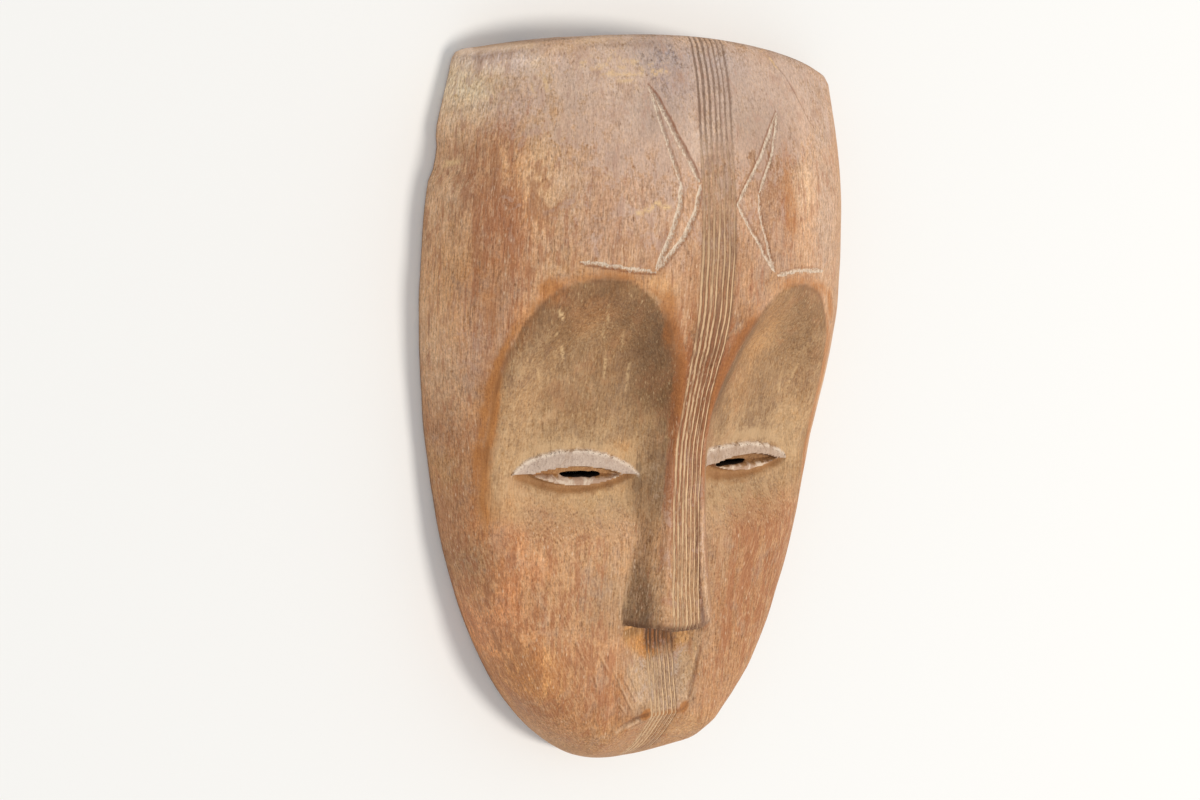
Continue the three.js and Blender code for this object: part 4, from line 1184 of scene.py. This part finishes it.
def wood_material():
    N = Nodes("carved_wood")
    at = N.new("ShaderNodeTexCoord").outputs["Object"]

    def split(name):
        a = N.new("ShaderNodeAttribute", attribute_type="GEOMETRY", attribute_name=name)
        s_ = N.new("ShaderNodeSeparateColor", mode="RGB")
        N.link(a.outputs["Color"], s_.inputs[0])
        return s_.outputs[0], s_.outputs[1], s_.outputs[2]

    colour = N.new("ShaderNodeAttribute", attribute_type="GEOMETRY", attribute_name="tone").outputs["Color"]
    a_orange, a_inner, a_grime_and_shade = split("stain")
    a_dust, a_cream, a_red = split("wear")
    a_band, a_pale, a_base = split("band")
    a_chalk, a_lip, a_dark = split("cuts")
    a_lid, a_rim, a_lower = split("lids")
    a_open, a_shade, a_scratch = split("eyes")
    a_nose_dirt_and_shade, a_strength, a_socket = split("nose")
    band_s = N.new("ShaderNodeAttribute", attribute_type="GEOMETRY", attribute_name="band_s").outputs["Fac"]

    a_cheek_l, a_cheek_r, a_silver = split("more")
    a_brown, a_pale_edge, a_far = split("edges")
    grain = N.noise(at, (820, 54, 820), 3.0, 0.68)
    fine = N.noise(at, (1250, 200, 1250), 2.0, 0.6, (9, 2, 5))
    speck = N.noise(at, 720, 3.0, 0.65, (1, 4, 2))
    mid = N.noise(at, (190, 62, 190), 4.0, 0.65, (3, 7, 1), 0.4)
    big = N.noise(at, (40, 26, 40), 4.0, 0.62, (5, 5, 5), 0.6)
    clot = N.noise(at, (110, 80, 110), 4.0, 0.65, (2, 8, 5), 0.8)

    # lighter and darker wood: grain, pores, broad clouds
    calm = N.math("SUBTRACT", 1.0, N.mul(N.math("MAXIMUM", a_lid, a_lower), 0.40))
    grit = N.noise(at, (980, 420, 980), 2.0, 0.7, (2, 5, 8))
    parts = N.add(N.mul(grain, 0.27), N.mul(fine, 0.20), N.mul(speck, 0.28), N.mul(mid, 0.15), N.mul(big, 0.15), N.mul(grit, 0.13))
    swing = N.mul(N.math("SUBTRACT", parts, 0.595), calm, N.math("SUBTRACT", 1.95, N.mul(a_socket, 0.42)))
    tint = N.math("SUBTRACT", N.noise(at, (760, 230, 760), 2.0, 0.6, (7, 5, 3)), 0.5)
    lum = N.new("ShaderNodeCombineColor", mode="RGB")
    for i, (k, warm) in enumerate(((0.86, 0.11), (1.0, 0.0), (1.14, -0.20))):
        N.link(N.add(1.0, N.mul(swing, k), N.mul(tint, warm)), lum.inputs[i])
    colour = N.mixc(1.0, colour, lum.outputs[0], "MULTIPLY")

    # warmer and greyer places, and a mottled floor in the sockets
    hue = N.add(N.mul(clot, 0.4), N.mul(big, 0.6))
    colour = N.mixc(N.mul(N.ramp(hue, 0.52, 0.80), 0.20), colour, rgb(198, 124, 72))
    colour = N.mixc(N.mul(N.ramp(hue, 0.48, 0.20), 0.22, N.math("SUBTRACT", 1.0, N.mul(a_socket, 0.6))), colour, rgb(186, 160, 144))
    mottle = N.add(N.mul(N.noise(at, (62, 40, 62), 4.0, 0.58, (6, 6, 2), 0.8), 0.7), N.mul(clot, 0.3))
    colour = N.mixc(N.mul(a_socket, N.ramp(mottle, 0.66, 0.10), 0.30), colour, rgb(134, 100, 68))
    colour = N.mixc(N.mul(a_socket, N.ramp(mottle, 0.45, 1.05), 0.22), colour, rgb(206, 168, 124))

    # worn-in red stain, grey dust, creamy residue, and grime with painted shade in the creases and sockets, each with
    # ragged edges
    streak = N.noise(at, (300, 18, 300), 4.0, 0.70, (8, 3, 2), 0.2)
    mixed = N.ramp(N.add(N.mul(mid, 0.22), N.mul(streak, 0.36), N.mul(grain, 0.20), N.mul(clot, 0.22)), 0.25, 0.75)
    powder = N.ramp(N.add(N.mul(clot, 0.55), N.mul(mid, 0.25), N.mul(speck, 0.20)), 0.22, 0.78)
    colour = N.mixc(N.mul(N.cover(a_red, mixed, 0.22), 0.56), colour, rgb(158, 92, 54))
    colour = N.mixc(N.mul(N.cover(a_dust, powder, 0.26), 0.46), colour, rgb(208, 182, 166))
    colour = N.mixc(N.mul(N.cover(a_cream, N.add(N.mul(powder, 0.7), N.mul(streak, 0.3)), 0.50), 0.50), colour, rgb(216, 180, 136))
    # grime and painted shade
    colour = N.mixc(N.mul(N.cover(a_grime_and_shade, N.add(N.mul(clot, 0.6), N.mul(fine, 0.4))), 0.50), colour, rgb(104, 78, 56))
    colour = N.mixc(N.mul(N.cover(a_silver, powder, 0.30), 0.40), colour, N.mixc(speck, rgb(158, 134, 112), rgb(216, 192, 168)))
    cloud = N.ramp(N.add(N.mul(big, 0.65), N.mul(mid, 0.35)), 0.52, 0.82)
    colour = N.mixc(N.mul(cloud, 0.34), colour, rgb(140, 98, 68))

    # fine light and dark scratches along the grain, slanting on the cheeks
    light_n = N.noise(at, (1150, 70, 1150), 3.0, 0.75, (6, 1, 8), 0.0, 0.0, 1.0)
    dark_n = N.noise(at, (900, 44, 900), 3.0, 0.75, (1, 9, 3), 0.0, 0.0, 1.0)
    patchy = N.ramp(big, 0.15, 0.75, 0.40, 1.0)
    upright = N.math("SUBTRACT", 1.0, N.mul(N.math("MAXIMUM", a_cheek_l, a_cheek_r), 0.55))
    light_s = N.mul(N.ramp(light_n, 0.54, 0.67), patchy, upright, N.math("SUBTRACT", 0.56, N.mul(N.math("MAXIMUM", a_lid, N.mul(a_socket, 0.6)), 0.4)))
    colour = N.mixc(light_s, colour, N.mixc(a_socket, rgb(230, 192, 156), rgb(222, 186, 140)))
    dark_s = N.mul(N.ramp(dark_n, 0.54, 0.70), 0.38, calm, upright)
    colour = N.mixc(dark_s, colour, rgb(112, 72, 48))
    for weight, turn, shift in ((a_cheek_l, 27, 4), (a_cheek_r, -20, 7)):
        knife = N.noise(at, (760, 70, 760), 3.0, 0.70, (shift, 2, 3), 0.3, 0.0, 1.0, turn)
        colour = N.mixc(N.mul(N.ramp(knife, 0.54, 0.66), weight, 0.42), colour, rgb(226, 182, 136))
        colour = N.mixc(N.mul(N.ramp(knife, 0.46, 0.34), weight, 0.36), colour, rgb(128, 80, 48))

    # pores and bright flecks
    pores = N.flecks(at, (460, 150, 460), (3, 5, 7), 0.30, 0.12, 0.42)
    flakes = N.flecks(at, (430, 170, 430), (8, 1, 4), 0.28, 0.10, 0.36)
    bare = N.math("SUBTRACT", 1.0, N.math("MAXIMUM", N.mul(a_dust, 0.85), N.mul(a_socket, 0.5)))
    colour = N.mixc(N.mul(pores, calm, bare, 0.42), colour, rgb(106, 70, 46))
    colour = N.mixc(N.mul(flakes, patchy, calm, N.ramp(bare, 0.0, 1.0, 0.45, 1.0), 0.52), colour, N.mixc(a_socket, rgb(238, 204, 170), rgb(226, 192, 146)))

    # orange-brown stain
    o_n = N.add(N.mul(clot, 0.4), N.mul(grain, 0.35), N.mul(speck, 0.25))
    a_slit_shade, a_nose_line, a_deep = split("extra")
    o_w = N.mul(N.ramp(N.add(a_orange, N.mul(N.math("SUBTRACT", o_n, 0.5), N.ramp(a_orange, 0.0, 0.3), 0.60)), 0.04, 0.84), 0.92)
    colour = N.mixc(o_w, colour, N.mixc(N.add(N.mul(grain, 0.5), N.mul(speck, 0.5)), N.mixc(a_deep, rgb(150, 88, 40), rgb(126, 72, 32)), N.mixc(a_deep, rgb(204, 138, 76), rgb(182, 116, 62))))
    colour = N.mixc(N.mul(a_brown, N.ramp(o_n, 0.1, 0.8, 0.25, 0.75)), colour, rgb(120, 78, 46))

    chalky = N.add(N.mul(clot, 0.35), N.mul(speck, 0.35), N.mul(fine, 0.30))
    # lids: chalky pigment, rubbed along the upper edge; the opening and the groove under it
    colour = N.mixc(N.mul(a_lid, N.ramp(clot, 0.0, 0.5, 0.70, 0.95)), colour, N.mixc(a_far, N.mixc(chalky, rgb(166, 140, 126), rgb(220, 198, 178)), N.mixc(chalky, rgb(162, 134, 114), rgb(210, 184, 162))))
    colour = N.mixc(N.mul(a_rim, N.ramp(N.add(clot, N.mul(speck, 0.5)), 0.45, 0.85), 0.9), colour, rgb(234, 214, 192))
    specks = N.mul(N.math("MAXIMUM", a_rim, N.mul(a_lid, 0.35)), N.ramp(N.noise(at, 640, 2.0, 0.6, (4, 3, 9)), 0.70, 0.90))
    colour = N.mixc(N.mul(specks, 0.8), colour, rgb(96, 74, 60))
    colour = N.mixc(N.mul(a_open, 0.88), colour, N.mixc(a_far, N.mixc(speck, rgb(150, 100, 58), rgb(196, 148, 96)), N.mixc(speck, rgb(112, 74, 42), rgb(168, 120, 74))))
    colour = N.mixc(N.mul(a_lower, 0.92), colour, N.mixc(N.ramp(clot, 0.35, 0.7), rgb(184, 150, 126), rgb(220, 196, 172)))
    colour = N.mixc(N.mul(a_shade, 0.85), colour, N.mixc(clot, rgb(146, 100, 60), rgb(178, 130, 82)))

    # the seven grooves down the middle
    d = N.math("ABSOLUTE", N.math("SUBTRACT", band_s, N.math("ROUND", band_s)))
    d = N.add(d, N.mul(N.math("SUBTRACT", fine, 0.5), 0.10), N.mul(N.math("SUBTRACT", grain, 0.5), 0.08))
    weave = N.noise(at, (760, 24, 760), 3.0, 0.7, (3, 3, 6))
    colour = N.mixc(N.mul(a_band, a_base, N.ramp(N.add(N.mul(mid, 0.4), N.mul(weave, 0.6)), 0.1, 0.8, 0.10, 0.72)), colour, N.mixc(weave, rgb(146, 110, 82), rgb(104, 76, 54)))
    line = N.mul(N.ramp(d, 0.24, 0.12), a_band)
    edge = N.mul(N.ramp(d, 0.36, 0.24), N.ramp(d, 0.10, 0.18), a_band, N.ramp(grain, 0.1, 0.8, 0.45, 1.0))
    worn = N.ramp(N.noise(at, (400, 36, 400), 2.0, 0.6, (4, 4, 1)), 0.20, 0.55, 0.35, 1.0)
    colour = N.mixc(N.mul(edge, a_strength, N.ramp(a_pale, 0.0, 0.6, 0.25, 0.66)), colour, rgb(104, 68, 42))
    plain = N.math("SUBTRACT", 1.0, a_pale)
    colour = N.mixc(N.mul(line, plain, a_strength, 0.62), colour, rgb(104, 76, 56))
    colour = N.mixc(N.mul(line, a_pale, worn, 0.94), colour, rgb(232, 194, 150))

    # the other cuts: chalk in them, stain on one lip
    colour = N.mixc(N.mul(a_dark, 0.50), colour, rgb(112, 76, 52))
    c_n = N.noise(at, 560, 3.0, 0.65, (7, 3, 3))
    colour = N.mixc(N.mul(N.cover(N.mul(a_chalk, 0.96), c_n, 0.32), 0.88), colour, N.mixc(N.ramp(fine, 0.15, 0.65), rgb(188, 162, 138), rgb(230, 210, 186)))
    colour = N.mixc(N.mul(a_chalk, N.ramp(N.add(N.mul(speck, 0.6), N.mul(grain, 0.4)), 0.62, 0.84), 0.60), colour, rgb(112, 90, 74))
    colour = N.mixc(N.mul(a_lip, N.ramp(grain, 0.0, 0.8, 0.55, 1.0), 0.85), colour, rgb(132, 76, 40))
    colour = N.mixc(N.mul(a_scratch, N.ramp(c_n, 0.1, 0.6), 0.85), colour, rgb(230, 192, 142))
    colour = N.mixc(N.mul(a_pale_edge, N.ramp(c_n, 0.0, 0.5, 0.45, 1.0), 0.60), colour, rgb(228, 190, 152))

    # dirt and painted shade along the lower edge of the nose, where it turns under
    colour = N.mixc(N.mul(a_nose_dirt_and_shade, N.ramp(N.add(N.mul(clot, 0.5), N.mul(speck, 0.5)), 0.25, 0.7, 0.45, 0.95), 0.86), colour, rgb(92, 58, 36))

    # the hollow: gouged, smoky wood
    ic = N.mixc(clot, rgb(108, 78, 56), rgb(146, 110, 80))
    ic = N.mixc(N.mul(grain, 0.40), ic, rgb(84, 58, 40))
    colour = N.mixc(N.mul(a_inner, 0.8), colour, ic)

    # painted shade inside the eye slits
    colour = N.mixc(N.ramp(a_slit_shade, 0.02, 0.14), colour, rgb(42, 29, 20))

    bsdf = N.new("ShaderNodeBsdfPrincipled")
    N.link(colour, bsdf.inputs["Base Color"])
    N.link(N.ramp(N.add(N.mul(clot, 0.5), N.mul(grain, 0.5)), 0.1, 0.9, 0.78, 0.58), bsdf.inputs["Roughness"])
    bsdf.inputs["Specular IOR Level"].default_value = 0.28

    # relief too fine for the mesh
    hgt = N.add(N.mul(grain, 0.40), N.mul(fine, 0.20), N.mul(speck, 0.16), N.mul(clot, 0.25))
    hgt = N.math("SUBTRACT", hgt, N.mul(line, 0.35))
    hgt = N.math("SUBTRACT", hgt, N.mul(dark_s, 0.5))
    hgt = N.add(hgt, N.mul(light_s, 0.3), N.mul(flakes, 0.35))
    hgt = N.math("SUBTRACT", hgt, N.mul(pores, 0.45))
    bump = N.new("ShaderNodeBump")
    bump.inputs["Strength"].default_value = 0.60
    bump.inputs["Distance"].default_value = 0.0005
    N.link(hgt, bump.inputs["Height"])
    N.link(bump.outputs[0], bsdf.inputs["Normal"])
    out = N.new("ShaderNodeOutputMaterial")
    N.link(bsdf.outputs[0], out.inputs[0])
    return N.mat


me.materials.clear()
me.materials.append(wood_material())
if "material_index" in me.attributes:
    me.attributes["material_index"].data.foreach_set("value", np.zeros(len(me.polygons), np.int32))
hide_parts("mask")
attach(mask, "root")

# ------------------------------------------------------------------ floor and light
floor = make_mesh("floor", [(-6, -6, 0), (6, -6, 0), (6, 6, 0), (-6, 6, 0)], [(0, 1, 2, 3)])
F = Nodes("floor")
fb = F.new("ShaderNodeBsdfPrincipled")
fb.inputs["Base Color"].default_value = (0.86, 0.85, 0.83, 1)
fb.inputs["Roughness"].default_value = 0.9
fb.inputs["Specular IOR Level"].default_value = 0.1
fo = F.new("ShaderNodeOutputMaterial")
F.link(fb.outputs[0], fo.inputs[0])
floor.data.materials.append(F.mat)


def area(name, at, to, size, power, colour):
    li = bpy.data.lights.new(name, "AREA")
    li.shape = "DISK"
    li.size = size
    li.energy = power
    li.color = colour
    ob = bpy.data.objects.new(name, li)
    ob.location = at
    ob.rotation_euler = (Vector(to) - Vector(at)).to_track_quat("-Z", "Y").to_euler()
    bpy.context.scene.collection.objects.link(ob)
    return ob


area("key", (2.50, -0.34, 5.38), (0, 0, 0.03), 1.2, 196.0, (1.0, 0.95, 0.88))
world = bpy.data.worlds.new("studio")
bpy.context.scene.world = world
world.use_nodes = True
bg = world.node_tree.nodes["Background"]
bg.inputs[0].default_value = (0.93, 0.965, 1.0, 1)
bg.inputs[1].default_value = 0.66
vs = bpy.context.scene.view_settings
vs.view_transform = "Standard"
vs.look = "None"
vs.exposure = 0.0
vs.gamma = 1.0
